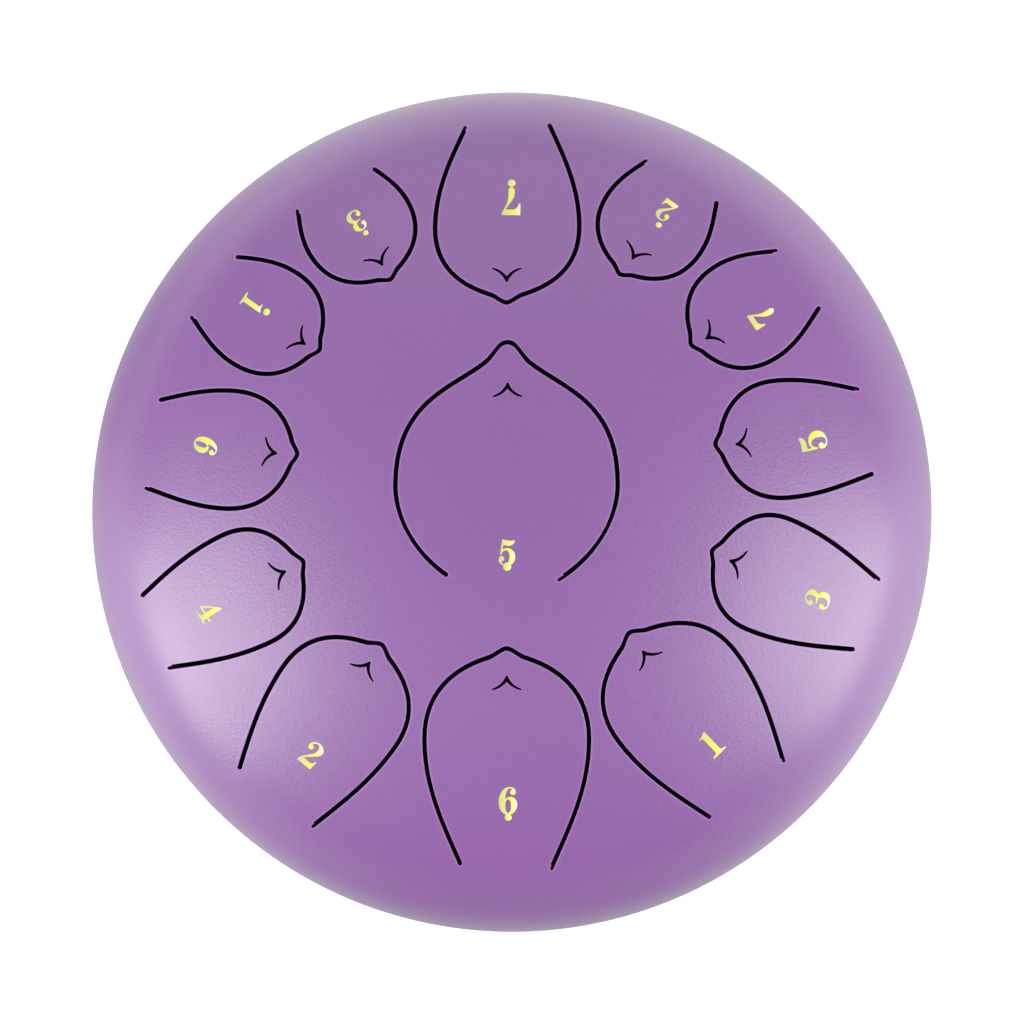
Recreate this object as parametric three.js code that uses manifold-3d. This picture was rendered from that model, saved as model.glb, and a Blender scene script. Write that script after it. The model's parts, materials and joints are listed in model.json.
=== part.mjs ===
// A steel tongue drum: two pressed steel shells that meet at the rim, thirteen tongues cut in the
// domed top, a sound hole in the flat base, and four rubber feet held by screws and nuts.
// Millimetres, +Z up. The origin is on the floor under the drum's centre, and -Y is the player's side.
import * as THREE from 'three';
import { mergeVertices } from 'three/addons/utils/BufferGeometryUtils.js';
import Module from 'manifold-3d';

const wasm = await Module();
wasm.setup();

// Pressed shells, measured on the outside
const drumRadius = 152.5;
const sheet = 1.8; // steel thickness of both shells
const crownRadius = 280; // middle of the dome
const shoulderRadius = 56; // between the dome and the skirt
const skirtHeight = 8; // straight edge of the top shell
const cornerRadius = 60; // between the base and the wall of the bottom shell
const wallHeight = 4; // straight wall of the bottom shell, up to the seam
const soundHoleRadius = 37.5;

// Rim joint: the bottom shell steps inwards to a lip that stands inside the skirt, under an epoxy bead
const lipHeight = 7;
const lipClearance = 0.3; // between the lip and the skirt
const seamGap = 0.5; // open line between the edges of the two shells
const beadLeg = 2.2;
const beadClearance = 0.3;

// Cut pattern of the top shell
const kerf = 1.5; // width of the slot round each tongue
const rootGap = 0.3; // parting line at a tongue's root, where the real sheet bends
const patternShift = -1.8; // the pattern's centre in X
const middleTipGap = 14.2; // from the middle tongue's tip to low_7's, which it points at
const middleRootGap = 24.5; // from the middle tongue's root to low_6's tip, behind it

// Chevron slit near each tip
const chevronHalfSpan = 4.9;
const chevronDepth = 4.3;
const chevronWidth = 1.5; // at its point, from which it tapers along both wings
const wingBend = { back: 3.2, across: 1.9 }; // where a wing turns outwards, from the point

// Feet and their fasteners
const footCount = 4;
const footHeight = 12;
const footTopRadius = 13;
const footBottomRadius = 11.5;
const footEdge = 1.5; // chamfer round the tread
const footInset = 6.5; // from the edge of the flat base to the foot
const pocketClearance = 0.7; // round the washer, in the pocket that holds the screw's head
const pocketDepth = 6;
const screwRadius = 2;
const headRadius = 4;
const headHeight = 2.6;
const headCrownRadius = 2.4; // flat middle of the pan head
const headEdge = 1.3; // upright edge of the pan head
const screwTail = 1.5; // thread past the nut
const recessLength = 4.2; // cross recess in the head
const recessWidth = 1;
const recessDepth = 1.4;
const holeClearance = 0.3; // round the screw, in every hole it passes
const footWasherRadius = 5.8;
const footWasherThickness = 1;
const nutWasherRadius = 5;
const nutWasherThickness = 0.8;
const nutAcrossFlats = 7;
const nutHeight = 3.2;

// Facets
const rimSegments = 64;
const crownSteps = 5;
const shoulderSteps = 6;
const cornerSteps = 6;
const edgeSteps = 5; // along each stretch of a tongue's edge
const slotEndSteps = 4;
const footSegments = 20;
const fastenerSegments = 12;

// Ring tongues by note. In degrees: the bearing of the root round the pattern's centre, the lean of the axis
// away from that centre, and the half angles that the root and the belly take up. In millimetres: the root's
// distance in from the rim and the chevron's from the tip. As shares: the tip's distance from the centre
// against the root's, and the belly's place along the tongue.
const ringTongues = {
  low_6: {
    bearing: 270, lean: 0, rimInset: 27, tipShare: 0.378,
    rootAngle: 7.2, bellyAngle: 19.9, bellyShare: 0.59, chevronGap: 10,
  },
  low_7: {
    bearing: 90, lean: 0, rimInset: 14.5, tipShare: 0.533,
    rootAngle: 6, bellyAngle: 14.2, bellyShare: 0.59, chevronGap: 7,
  },
  1: {
    bearing: 310.8, lean: -3.9, rimInset: 22.5, tipShare: 0.458,
    rootAngle: 7.1, bellyAngle: 16.4, bellyShare: 0.6, chevronGap: 7.7,
  },
  2: {
    bearing: 230.9, lean: 4.1, rimInset: 22.5, tipShare: 0.481,
    rootAngle: 7.2, bellyAngle: 15.1, bellyShare: 0.6, chevronGap: 7.7,
  },
  3: {
    bearing: 344.1, lean: -6.3, rimInset: 20, tipShare: 0.54,
    rootAngle: 5.6, bellyAngle: 12.4, bellyShare: 0.63, chevronGap: 7,
  },
  4: {
    bearing: 198.7, lean: 6.3, rimInset: 20.5, tipShare: 0.549,
    rootAngle: 5.8, bellyAngle: 12.2, bellyShare: 0.62, chevronGap: 7,
  },
  5: {
    bearing: 12.7, lean: -7.6, rimInset: 22, tipShare: 0.579,
    rootAngle: 6.5, bellyAngle: 11.7, bellyShare: 0.56, chevronGap: 7.4,
  },
  6: {
    bearing: 169, lean: 6.3, rimInset: 24.5, tipShare: 0.59,
    rootAngle: 6.9, bellyAngle: 11.7, bellyShare: 0.53, chevronGap: 6.7,
  },
  7: {
    bearing: 38.8, lean: -6.3, rimInset: 20.5, tipShare: 0.652,
    rootAngle: 5.4, bellyAngle: 10, bellyShare: 0.49, chevronGap: 5.7,
  },
  high_1: {
    bearing: 142.3, lean: 5.4, rimInset: 21, tipShare: 0.654,
    rootAngle: 5.6, bellyAngle: 10.1, bellyShare: 0.49, chevronGap: 5.5,
  },
  high_2: {
    bearing: 62.3, lean: -5.3, rimInset: 20, tipShare: 0.691,
    rootAngle: 6.2, bellyAngle: 9.6, bellyShare: 0.45, chevronGap: 7,
  },
  high_3: {
    bearing: 117.9, lean: 2.3, rimInset: 23, tipShare: 0.703,
    rootAngle: 6.7, bellyAngle: 9.8, bellyShare: 0.42, chevronGap: 6.1,
  },
};

// The middle tongue fills the room between the tips of low_6 and low_7. Its widths are half widths.
const middleTongue = { rootHalf: 18.8, bellyHalf: 38.6, bellyShare: 0.395, chevronGap: 15.3 };

// Shape of a tongue's edge, as shares of its own widths and lengths: the ogee's half width and its distance
// from the tip against the belly, its slope from the tongue's axis in degrees, and how far each stretch
// holds its end directions. The middle tongue has a longer, slimmer tip.
const ringEdge = {
  ogee: 0.45, ogeeShare: 0.2, slope: 64, rootPull: 0.33, rootFlare: 0.49,
  bellyHold: 0.38, turn: 0.54, ease: 0.34, neck: 0.27, nose: 0.11,
};
const middleEdge = {
  ogee: 0.34, ogeeShare: 0.31, slope: 72, rootPull: 0.24, rootFlare: 0.63,
  bellyHold: 0.36, turn: 0.51, ease: 0.37, neck: 0.16, nose: 0.12,
};

// Finishes
const purplePaint = new THREE.MeshStandardMaterial({ color: 0x966baa, roughness: 0.45, metalness: 0.1 });
const blackRubber = new THREE.MeshStandardMaterial({ color: 0x1c1c1e, roughness: 0.85, metalness: 0 });
const zincSteel = new THREE.MeshStandardMaterial({ color: 0xb9bcc0, roughness: 0.35, metalness: 1 });
const greyEpoxy = new THREE.MeshStandardMaterial({ color: 0x8d8f92, roughness: 0.5, metalness: 0 });

// A closed geometry as a solid, with its doubled vertices merged and its collapsed triangles left out.
function solidOf(geometry) {
  const bare = geometry.clone();
  bare.deleteAttribute('normal');
  bare.deleteAttribute('uv');
  const merged = mergeVertices(bare, 1e-4);
  const index = merged.index.array;
  const triVerts = [];
  for (let i = 0; i < index.length; i += 3) {
    const [a, b, c] = [index[i], index[i + 1], index[i + 2]];
    if (a !== b && b !== c && c !== a) triVerts.push(a, b, c);
  }
  const mesh = new wasm.Mesh({
    numProp: 3,
    vertProperties: merged.attributes.position.array,
    triVerts: new Uint32Array(triVerts),
  });
  return new wasm.Manifold(mesh);
}

// A solid as a named mesh.
function meshOf(name, solid, material) {
  const { vertProperties, triVerts } = solid.getMesh();
  const geometry = new THREE.BufferGeometry();
  geometry.setAttribute('position', new THREE.BufferAttribute(vertProperties, 3));
  geometry.setIndex(new THREE.BufferAttribute(triVerts, 1));
  geometry.computeVertexNormals();
  const mesh = new THREE.Mesh(geometry, material);
  mesh.name = name;
  return mesh;
}

// Turns a profile of (radius, height) points round the Z axis.
function turned(profile, segments) {
  return solidOf(new THREE.LatheGeometry(profile, segments).rotateX(Math.PI / 2));
}

// An upright prism over a plan outline.
function prism(outline, bottom, top) {
  const options = { depth: top - bottom, bevelEnabled: false };
  const geometry = new THREE.ExtrudeGeometry(new THREE.Shape(outline), options);
  return solidOf(geometry.translate(0, 0, bottom));
}

const point = (x, y) => new THREE.Vector2(x, y);

// Points on an arc of the profile, from one angle to another.
function arc(centreR, centreZ, radius, from, to, steps) {
  return Array.from({ length: steps + 1 }, (_, i) => {
    const angle = from + ((to - from) * i) / steps;
    return point(centreR + radius * Math.cos(angle), centreZ + radius * Math.sin(angle));
  });
}

// Dome: the crown and the shoulder are tangent arcs, and the heights count from the top shell's edge.
const shoulderCentre = drumRadius - shoulderRadius;
const crownAngle = Math.asin(shoulderCentre / (crownRadius - shoulderRadius)); // where the two arcs meet
const crownCentre = skirtHeight - (crownRadius - shoulderRadius) * Math.cos(crownAngle);
const domeHeight = crownCentre + crownRadius;

// One face of the dome, from the edge to the axis, at a depth under the outside.
function domeFace(depth) {
  const meet = Math.PI / 2 - crownAngle;
  const shoulder = arc(shoulderCentre, skirtHeight, shoulderRadius - depth, 0, meet, shoulderSteps);
  const crown = arc(0, crownCentre, crownRadius - depth, meet, Math.PI / 2, crownSteps);
  crown[crownSteps].x = 0;
  return [point(drumRadius - depth, 0), ...shoulder, ...crown.slice(1)];
}

function domeShell() {
  return turned([...domeFace(sheet).reverse(), ...domeFace(0)], rimSegments);
}

// A tongue's frame on the plan: its root's middle, and the directions along and across it.
function frameOf(tongue) {
  const facing = THREE.MathUtils.degToRad(tongue.bearing + 180 + tongue.lean);
  const bearing = THREE.MathUtils.degToRad(tongue.bearing);
  const along = point(Math.cos(facing), Math.sin(facing));
  const across = point(-along.y, along.x);
  const root = point(Math.cos(bearing), Math.sin(bearing)).multiplyScalar(tongue.rootRadius);
  root.x += patternShift;
  return (u, v) => root.clone().addScaledVector(along, u).addScaledVector(across, v);
}

// Half of a tongue's edge as (along, across) points from its root to its tip, set out from the slot's middle
// line by an offset: outwards to the shell's side of the slot, inwards to the tongue's own edge.
function halfEdge(tongue, offset) {
  const { ogee, ogeeShare, slope, rootPull, rootFlare, bellyHold, turn, ease, neck, nose } = tongue.edge;
  const { length, rootHalf, bellyHalf } = tongue;
  const bellyAt = tongue.bellyShare * length;
  const angle = THREE.MathUtils.degToRad(slope);
  const heading = point(Math.cos(angle), -Math.sin(angle));
  const outwards = point(Math.sin(angle), Math.cos(angle));
  const rootEnd = point(0, rootHalf + offset);
  const widest = point(bellyAt, bellyHalf + offset);
  const ogeePoint = point(length - ogeeShare * bellyHalf, ogee * bellyHalf);
  ogeePoint.addScaledVector(outwards, offset);
  const tip = point(length + offset, 0);
  const stretches = [
    new THREE.CubicBezierCurve(
      rootEnd,
      point(rootPull * bellyAt, rootEnd.y + rootFlare * (bellyHalf - rootHalf)),
      point((1 - bellyHold) * bellyAt, widest.y),
      widest,
    ),
    new THREE.CubicBezierCurve(
      widest,
      point(bellyAt + turn * (ogeePoint.x - bellyAt), widest.y),
      ogeePoint.clone().addScaledVector(heading, -ease * bellyHalf),
      ogeePoint,
    ),
    new THREE.CubicBezierCurve(
      ogeePoint,
      ogeePoint.clone().addScaledVector(heading, neck * ogeePoint.y),
      point(tip.x, nose * ogeePoint.y),
      tip,
    ),
  ];
  return stretches.flatMap((curve, i) => curve.getPoints(edgeSteps).slice(i ? 1 : 0));
}

// Both halves of an outline that is the same on either side of the tongue's axis.
function mirrored(half) {
  const other = half.slice(0, -1).reverse().map((p) => point(p.x, -p.y));
  return [...half, ...other];
}

// The tongue's own outline on the plan, which stops just short of the parting line.
function tongueOutline(tongue) {
  const place = frameOf(tongue);
  const half = halfEdge(tongue, -kerf / 2);
  half[0].x = rootGap / 2;
  return mirrored(half).map((p) => place(p.x, p.y));
}

// What the top shell loses to a tongue: the tongue, the slot round it with round ends, and the parting line.
function clearedOutline(tongue) {
  const place = frameOf(tongue);
  const half = halfEdge(tongue, kerf / 2);
  const inner = Math.asin(rootGap / kerf); // where the slot's round end meets the parting line
  const roundEnd = arc(0, tongue.rootHalf, kerf / 2, -Math.PI / 2 - inner, -1.5 * Math.PI, slotEndSteps);
  return mirrored([...roundEnd.slice(0, -1), ...half]).map((p) => place(p.x, p.y));
}

// A bird-shaped slit that points at the tongue's tip, thickest at its point.
function chevronOutline(tongue) {
  const place = frameOf(tongue);
  const front = tongue.length - tongue.chevronGap;
  const wingTip = point(front - chevronDepth, chevronHalfSpan);
  const wing = (start, bend) => {
    const curve = new THREE.QuadraticBezierCurve(point(start, 0), point(bend, wingBend.across), wingTip);
    return curve.getPoints(edgeSteps);
  };
  const bend = front - wingBend.back;
  const half = [
    ...wing(front - chevronWidth, bend - chevronWidth / 3),
    ...wing(front, bend).reverse().slice(1),
  ];
  return mirrored(half).slice(0, -1).map((p) => place(p.x, p.y));
}

// A ring tongue's length and half widths follow from where its root, its belly and its tip lie.
function ringTongue([note, tongue]) {
  const rootRadius = drumRadius - tongue.rimInset;
  const length = rootRadius * (1 - tongue.tipShare);
  const bellyRadius = rootRadius - tongue.bellyShare * length;
  const halfWidth = (radius, angle) => radius * Math.tan(THREE.MathUtils.degToRad(angle));
  const rootHalf = halfWidth(rootRadius, tongue.rootAngle);
  const bellyHalf = halfWidth(bellyRadius, tongue.bellyAngle);
  return { ...tongue, note, rootRadius, length, rootHalf, bellyHalf, edge: ringEdge };
}

const ring = Object.entries(ringTongues).map(ringTongue);

// The middle tongue lies on the pattern's Y axis, with its root behind the centre.
function middleOfRing() {
  const tipRadius = (note) => {
    const { rootRadius, length } = ring.find((tongue) => tongue.note === note);
    return rootRadius - length;
  };
  const rootRadius = tipRadius('low_6') - middleRootGap;
  const length = rootRadius + tipRadius('low_7') - middleTipGap;
  return { ...middleTongue, note: 'low_5', bearing: 270, lean: 0, rootRadius, length, edge: middleEdge };
}

const allTongues = [middleOfRing(), ...ring];

// Top shell and tongues: both are cut from one pressing, so they share its faces.
function topAssembly() {
  const group = new THREE.Group();
  const pressing = domeShell();
  const above = domeHeight + sheet;
  let shell = pressing;
  for (const tongue of allTongues) {
    shell = shell.subtract(prism(clearedOutline(tongue), -sheet, above));
    const blade = pressing
      .intersect(prism(tongueOutline(tongue), -sheet, above))
      .subtract(prism(chevronOutline(tongue), -sheet, above));
    group.add(meshOf(`tongue_${tongue.note}`, blade, purplePaint));
  }
  group.add(meshOf('top_shell', shell, purplePaint));
  return group;
}

// Bottom shell: flat base with the sound hole, rounded corner, wall, and the stepped lip.
const baseRadius = drumRadius - cornerRadius; // flat part of the base
const footRing = baseRadius - footInset - footTopRadius; // circle of the feet's centres
const seamHeight = cornerRadius + wallHeight; // above the base's outside
const lipRadius = drumRadius - sheet - lipClearance;
const footBearings = Array.from({ length: footCount }, (_, i) => ((i + 0.5) * 2 * Math.PI) / footCount);

// What a screw's hole takes away between two heights.
const screwHole = screwRadius + holeClearance;
function drill(from, to) {
  const section = [point(0, from), point(screwHole, from), point(screwHole, to), point(0, to)];
  return turned(section, fastenerSegments);
}

function bottomShell() {
  const corner = (depth) =>
    arc(baseRadius, cornerRadius, cornerRadius - depth, -Math.PI / 2, 0, cornerSteps);
  const outside = [
    point(soundHoleRadius, 0),
    ...corner(0),
    point(drumRadius, seamHeight),
    point(lipRadius, seamHeight),
    point(lipRadius, seamHeight + lipHeight),
  ];
  const stepDrop = sheet; // the inside steps in lower than the outside, so the sheet keeps its thickness
  const inside = [
    point(lipRadius - sheet, seamHeight + lipHeight),
    point(lipRadius - sheet, seamHeight - stepDrop),
    point(drumRadius - sheet, seamHeight - stepDrop),
    ...corner(sheet).reverse(),
    point(soundHoleRadius, sheet),
  ];
  let shell = turned([...outside, ...inside, outside[0]], rimSegments);
  for (const bearing of footBearings) {
    const hole = drill(-sheet, 2 * sheet);
    shell = shell.subtract(hole.translate([footRing * Math.cos(bearing), footRing * Math.sin(bearing), 0]));
  }
  return meshOf('bottom_shell', shell, purplePaint);
}

// Epoxy bead in the corner over the lip, against the inside of the skirt.
function rimBead() {
  const outer = drumRadius - sheet - beadClearance;
  const foot = seamHeight + lipHeight + beadClearance;
  const section = [point(outer - beadLeg, foot), point(outer, foot), point(outer, foot + beadLeg)];
  return meshOf('rim_bead', turned([...section, section[0]], rimSegments), greyEpoxy);
}

// A flat ring with a hole, such as a washer.
function washer(name, radius, thickness) {
  const section = [
    point(screwHole, 0),
    point(radius, 0),
    point(radius, thickness),
    point(screwHole, thickness),
  ];
  return meshOf(name, turned([...section, section[0]], fastenerSegments), zincSteel);
}

// Rubber foot: a short cone with a chamfered tread and a pocket that hides the screw's head.
function foot(name) {
  const pocketRadius = footWasherRadius + pocketClearance;
  const section = [
    point(pocketRadius, 0),
    point(footBottomRadius - footEdge, 0),
    point(footBottomRadius, footEdge),
    point(footTopRadius, footHeight),
    point(screwHole, footHeight),
    point(screwHole, pocketDepth),
    point(pocketRadius, pocketDepth),
  ];
  return meshOf(name, turned([...section, section[0]], footSegments), blackRubber);
}

// Pan-head screw, head down, with a cross recess; its height counts from under the head.
function screw(name, shankLength) {
  const body = turned(
    [
      point(0, -headHeight),
      point(headCrownRadius, -headHeight),
      point(headRadius, -headEdge),
      point(headRadius, 0),
      point(screwRadius, 0),
      point(screwRadius, shankLength),
      point(0, shankLength),
    ],
    fastenerSegments,
  );
  const arm = (length, width) => {
    const [x, y] = [length / 2, width / 2];
    const outline = [point(-x, -y), point(x, -y), point(x, y), point(-x, y)];
    return prism(outline, -2 * headHeight, recessDepth - headHeight);
  };
  const recess = arm(recessLength, recessWidth).add(arm(recessWidth, recessLength));
  return meshOf(name, body.subtract(recess), zincSteel);
}

// Hexagon nut on the inside of the base.
function nut(name) {
  const corner = nutAcrossFlats / Math.sqrt(3);
  const block = turned([point(0, 0), point(corner, 0), point(corner, nutHeight), point(0, nutHeight)], 6);
  return meshOf(name, block.subtract(drill(-nutHeight, 2 * nutHeight)), zincSteel);
}

// One foot with its fasteners, stacked up from the floor: screw head, washer, rubber, base, washer and nut.
function footAssembly(number) {
  const group = new THREE.Group();
  const headSeat = pocketDepth - footWasherThickness;
  const baseInside = footHeight + sheet;
  const nutSeat = baseInside + nutWasherThickness;
  const at = (mesh, height) => {
    mesh.position.z = height;
    group.add(mesh);
  };
  at(foot(`foot_${number}`), 0);
  at(screw(`foot_screw_${number}`, nutSeat + nutHeight + screwTail - headSeat), headSeat);
  at(washer(`foot_washer_${number}`, footWasherRadius, footWasherThickness), headSeat);
  at(washer(`nut_washer_${number}`, nutWasherRadius, nutWasherThickness), baseInside);
  at(nut(`nut_${number}`), nutSeat);
  return group;
}

const drum = new THREE.Group();

const body = new THREE.Group();
body.position.z = footHeight;
body.add(bottomShell(), rimBead());
const top = topAssembly();
top.position.z = seamHeight + seamGap;
body.add(top);
drum.add(body);

footBearings.forEach((bearing, i) => {
  const assembly = footAssembly(i + 1);
  assembly.position.set(footRing * Math.cos(bearing), footRing * Math.sin(bearing), 0);
  drum.add(assembly);
});

export default drum;
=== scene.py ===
import bpy
import json
import math
import numpy as np
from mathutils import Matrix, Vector
from mathutils.geometry import delaunay_2d_cdt
from mathutils.kdtree import KDTree


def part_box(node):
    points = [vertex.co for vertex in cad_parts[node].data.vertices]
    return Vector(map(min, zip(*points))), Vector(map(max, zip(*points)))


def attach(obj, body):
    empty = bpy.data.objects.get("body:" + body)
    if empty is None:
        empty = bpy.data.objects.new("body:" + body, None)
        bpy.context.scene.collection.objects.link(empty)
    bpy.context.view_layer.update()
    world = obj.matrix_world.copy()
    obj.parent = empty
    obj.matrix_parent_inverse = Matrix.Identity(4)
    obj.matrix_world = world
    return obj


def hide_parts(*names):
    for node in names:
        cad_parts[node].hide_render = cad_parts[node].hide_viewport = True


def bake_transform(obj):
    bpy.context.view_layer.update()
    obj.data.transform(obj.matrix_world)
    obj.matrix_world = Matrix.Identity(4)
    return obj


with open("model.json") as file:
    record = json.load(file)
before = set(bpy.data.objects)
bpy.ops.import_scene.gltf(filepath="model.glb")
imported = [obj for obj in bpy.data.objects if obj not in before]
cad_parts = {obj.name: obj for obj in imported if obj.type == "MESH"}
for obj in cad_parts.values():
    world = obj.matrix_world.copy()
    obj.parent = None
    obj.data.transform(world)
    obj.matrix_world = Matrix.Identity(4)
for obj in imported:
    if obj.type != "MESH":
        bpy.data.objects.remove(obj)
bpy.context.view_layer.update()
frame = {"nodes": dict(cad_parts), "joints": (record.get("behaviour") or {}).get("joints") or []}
cadNodes = frame["nodes"]
mm = 0.001


# Node helpers

def newTree(name, **inputs):
    tree = bpy.data.node_groups.new(name, "GeometryNodeTree")
    for label, kind in {"Geometry": "Geometry", **inputs}.items():
        tree.interface.new_socket(label, in_out="INPUT", socket_type="NodeSocket" + kind)
    tree.interface.new_socket("Geometry", in_out="OUTPUT", socket_type="NodeSocketGeometry")
    return tree, tree.nodes.new("NodeGroupInput").outputs


# Links an input to another node's output, or sets its plain value
def feed(tree, socket, source):
    if isinstance(source, bpy.types.NodeSocket):
        tree.links.new(source, socket)
    elif source is not None:
        socket.default_value = source


def addNode(tree, kind, *sources, named=None, **settings):
    node = tree.nodes.new(kind)
    for key, value in settings.items():
        setattr(node, key, value)
    for socket, source in zip(node.inputs, sources):
        feed(tree, socket, source)
    for label, source in (named or {}).items():
        feed(tree, node.inputs[label], source)
    return node.outputs


def calc(tree, operation, *sources):
    return addNode(tree, "ShaderNodeMath", *sources, operation=operation)[0]


def product(tree, first, *others):
    for other in others:
        first = calc(tree, "MULTIPLY", first, other)
    return first


def calcVector(tree, operation, *sources):
    outputs = addNode(tree, "ShaderNodeVectorMath", *sources, operation=operation)
    return outputs["Value" if operation in ("LENGTH", "DISTANCE", "DOT_PRODUCT") else "Vector"]


def scaled(tree, vector, factor):
    return calcVector(tree, "SCALE", vector, None, None, factor)


def combined(tree, x, y, z):
    return addNode(tree, "ShaderNodeCombineXYZ", x, y, z)[0]


def ranged(tree, source, low, high, toLow=0.0, toHigh=1.0):
    return addNode(tree, "ShaderNodeMapRange", source, low, high, toLow, toHigh)[0]


def closeTree(tree, geometry, *paints):
    geometry = addNode(tree, "GeometryNodeRealizeInstances", geometry)[0]
    for material, selection in paints:
        geometry = addNode(tree, "GeometryNodeSetMaterial", geometry, selection, material)[0]
    tree.links.new(geometry, tree.nodes.new("NodeGroupOutput").inputs[0])


def meshObject(name, points, faces, edges=()):
    mesh = bpy.data.meshes.new(name)
    mesh.from_pydata([tuple(p) for p in points], list(edges), faces)
    piece = bpy.data.objects.new(name, mesh)
    bpy.context.scene.collection.objects.link(piece)
    return piece


def storeValues(mesh, name, kind, domain, values):
    field = "vector" if kind == "FLOAT_VECTOR" else "value"
    mesh.attributes.new(name, kind, domain).data.foreach_set(field, values)


# Runs a tree on a piece and keeps the result as its plain mesh
def bakeTree(piece, tree, **values):
    modifier = piece.modifiers.new(tree.name, "NODES")
    modifier.node_group = tree
    for item in tree.interface.items_tree:
        if item.in_out == "INPUT" and item.name in values:
            modifier[item.identifier] = values[item.name]
    depsgraph = bpy.context.evaluated_depsgraph_get()
    plain = bpy.data.meshes.new_from_object(piece.evaluated_get(depsgraph))
    piece.modifiers.remove(modifier)
    plain.name = piece.name
    piece.data = plain
    return piece


# Materials

def newMaterial(name):
    material = bpy.data.materials.new(name)
    material.use_nodes = True
    coords = addNode(material.node_tree, "ShaderNodeTexCoord")["Object"]
    return material, material.node_tree, coords


def setShader(tree, inputs):
    shader = tree.nodes["Principled BSDF"]
    for label, source in inputs.items():
        feed(tree, shader.inputs[label], source)
    return shader.outputs[0]


def noise(tree, coords, scale, detail, roughness=0.5):
    named = {"Vector": coords, "Scale": scale, "Detail": detail, "Roughness": roughness}
    return addNode(tree, "ShaderNodeTexNoise", named=named)[0]


def ramp(tree, source, *stops):
    outputs = addNode(tree, "ShaderNodeValToRGB", source)
    elements = outputs[0].node.color_ramp.elements
    while len(elements) < len(stops):
        elements.new(0.5)
    for element, (place, colour) in zip(elements, stops):
        element.position = place
        element.color = colour
    return outputs[0]


noiseEnds = (0.3, 0.7)    # a noise hardly leaves this range


def mottled(tree, source, finish):
    return ramp(tree, source, (noiseEnds[0], finish["deep"]), (noiseEnds[1], finish["pale"]))


# A value from 0 to 1, spread between two others
def spread(tree, source, low, high):
    return ranged(tree, source, 0.0, 1.0, low, high)


def bumped(tree, height, distance):
    return addNode(tree, "ShaderNodeBump", named={"Height": height, "Distance": distance})["Normal"]


def attribute(tree, name):
    return addNode(tree, "ShaderNodeAttribute", attribute_name=name)["Fac"]


# Scales are per metre
purplePaint = {
    "deep": (0.289, 0.092, 0.421, 1),
    "pale": (0.334, 0.116, 0.481, 1),
    "driftScale": 14.0,      # slow change of tone over the drum
    "grainScale": 1500.0,    # fine speckle
    "grainShare": 0.7,       # of the change of tone; the rest is drift
    "peelScale": 1150.0,     # orange peel of the sprayed coat
    "peelHeight": 0.15 * mm,
    "grainHeight": 0.3,      # as a share of the peel's height
    "roughness": (0.31, 0.39),
    "lip": 1.4,              # painted highlight: how much brighter the colour is along the cut edges
    "specular": 1.0,
    "coat": 1.0,
    "coatRoughness": 0.35,
}


def makePaint():
    material, tree, coords = newMaterial("purplePaint")
    drift = noise(tree, coords, purplePaint["driftScale"], detail=3.0)
    peel = noise(tree, coords, purplePaint["peelScale"], detail=2.0, roughness=0.6)
    grain = noise(tree, coords, purplePaint["grainScale"], detail=1.0)
    share = purplePaint["grainShare"]
    tone = calc(tree, "ADD", product(tree, drift, 1 - share), product(tree, grain, share))
    # Painted highlight: the paint's colour is made brighter along the cut edges
    paintedHighlightGain = spread(tree, attribute(tree, "lip"), 1.0, purplePaint["lip"])
    height = calc(tree, "ADD", peel, product(tree, grain, purplePaint["grainHeight"]))
    setShader(tree, {
        "Base Color": scaled(tree, mottled(tree, tone, purplePaint), paintedHighlightGain),
        "Roughness": spread(tree, peel, *purplePaint["roughness"]),
        "Specular IOR Level": purplePaint["specular"],
        "Coat Weight": purplePaint["coat"],
        "Coat Roughness": purplePaint["coatRoughness"],
        "Normal": bumped(tree, height, purplePaint["peelHeight"]),
    })
    return material


goldFoil = {
    # colours of the foil and its painted reflection, from dull gold to near white
    "stops": [
        (0.05, (0.71, 0.72, 0.33, 1)), (0.55, (0.93, 0.925, 0.17, 1)),
        (0.72, (0.965, 0.96, 0.22, 1)), (0.97, (0.96, 0.96, 0.68, 1)),
    ],
    "crinkleScale": 1800.0,
    "crinkleTone": 0.05,         # how far a crinkle moves along the stops
    "crinkleHeight": 0.01 * mm,
    "lit": 0.5,                  # share of the colour that follows the light
    "paintedGlow": 0.55,               # painted glow: the foil gives off light in its own colour
    "specular": 0.1,
    "roughness": (0.5, 0.65),
}


# The foil's yellow gold with a painted reflection: it runs from dull gold through yellow to near white
# across each number, left to right
def makeFoil():
    material, tree, coords = newMaterial("goldFoil")
    crinkle = noise(tree, coords, goldFoil["crinkleScale"], detail=3.0)
    sway = spread(tree, crinkle, -goldFoil["crinkleTone"], goldFoil["crinkleTone"])
    colour = ramp(tree, calc(tree, "ADD", attribute(tree, "foilTone"), sway), *goldFoil["stops"])
    # Painted glow: part of the foil's colour is given off as light
    setShader(tree, {
        "Base Color": scaled(tree, colour, goldFoil["lit"]),
        "Emission Color": colour,
        "Emission Strength": goldFoil["paintedGlow"],
        "Roughness": spread(tree, crinkle, *goldFoil["roughness"]),
        "Specular IOR Level": goldFoil["specular"],
        "Normal": bumped(tree, crinkle, goldFoil["crinkleHeight"]),
    })
    return material


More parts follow.
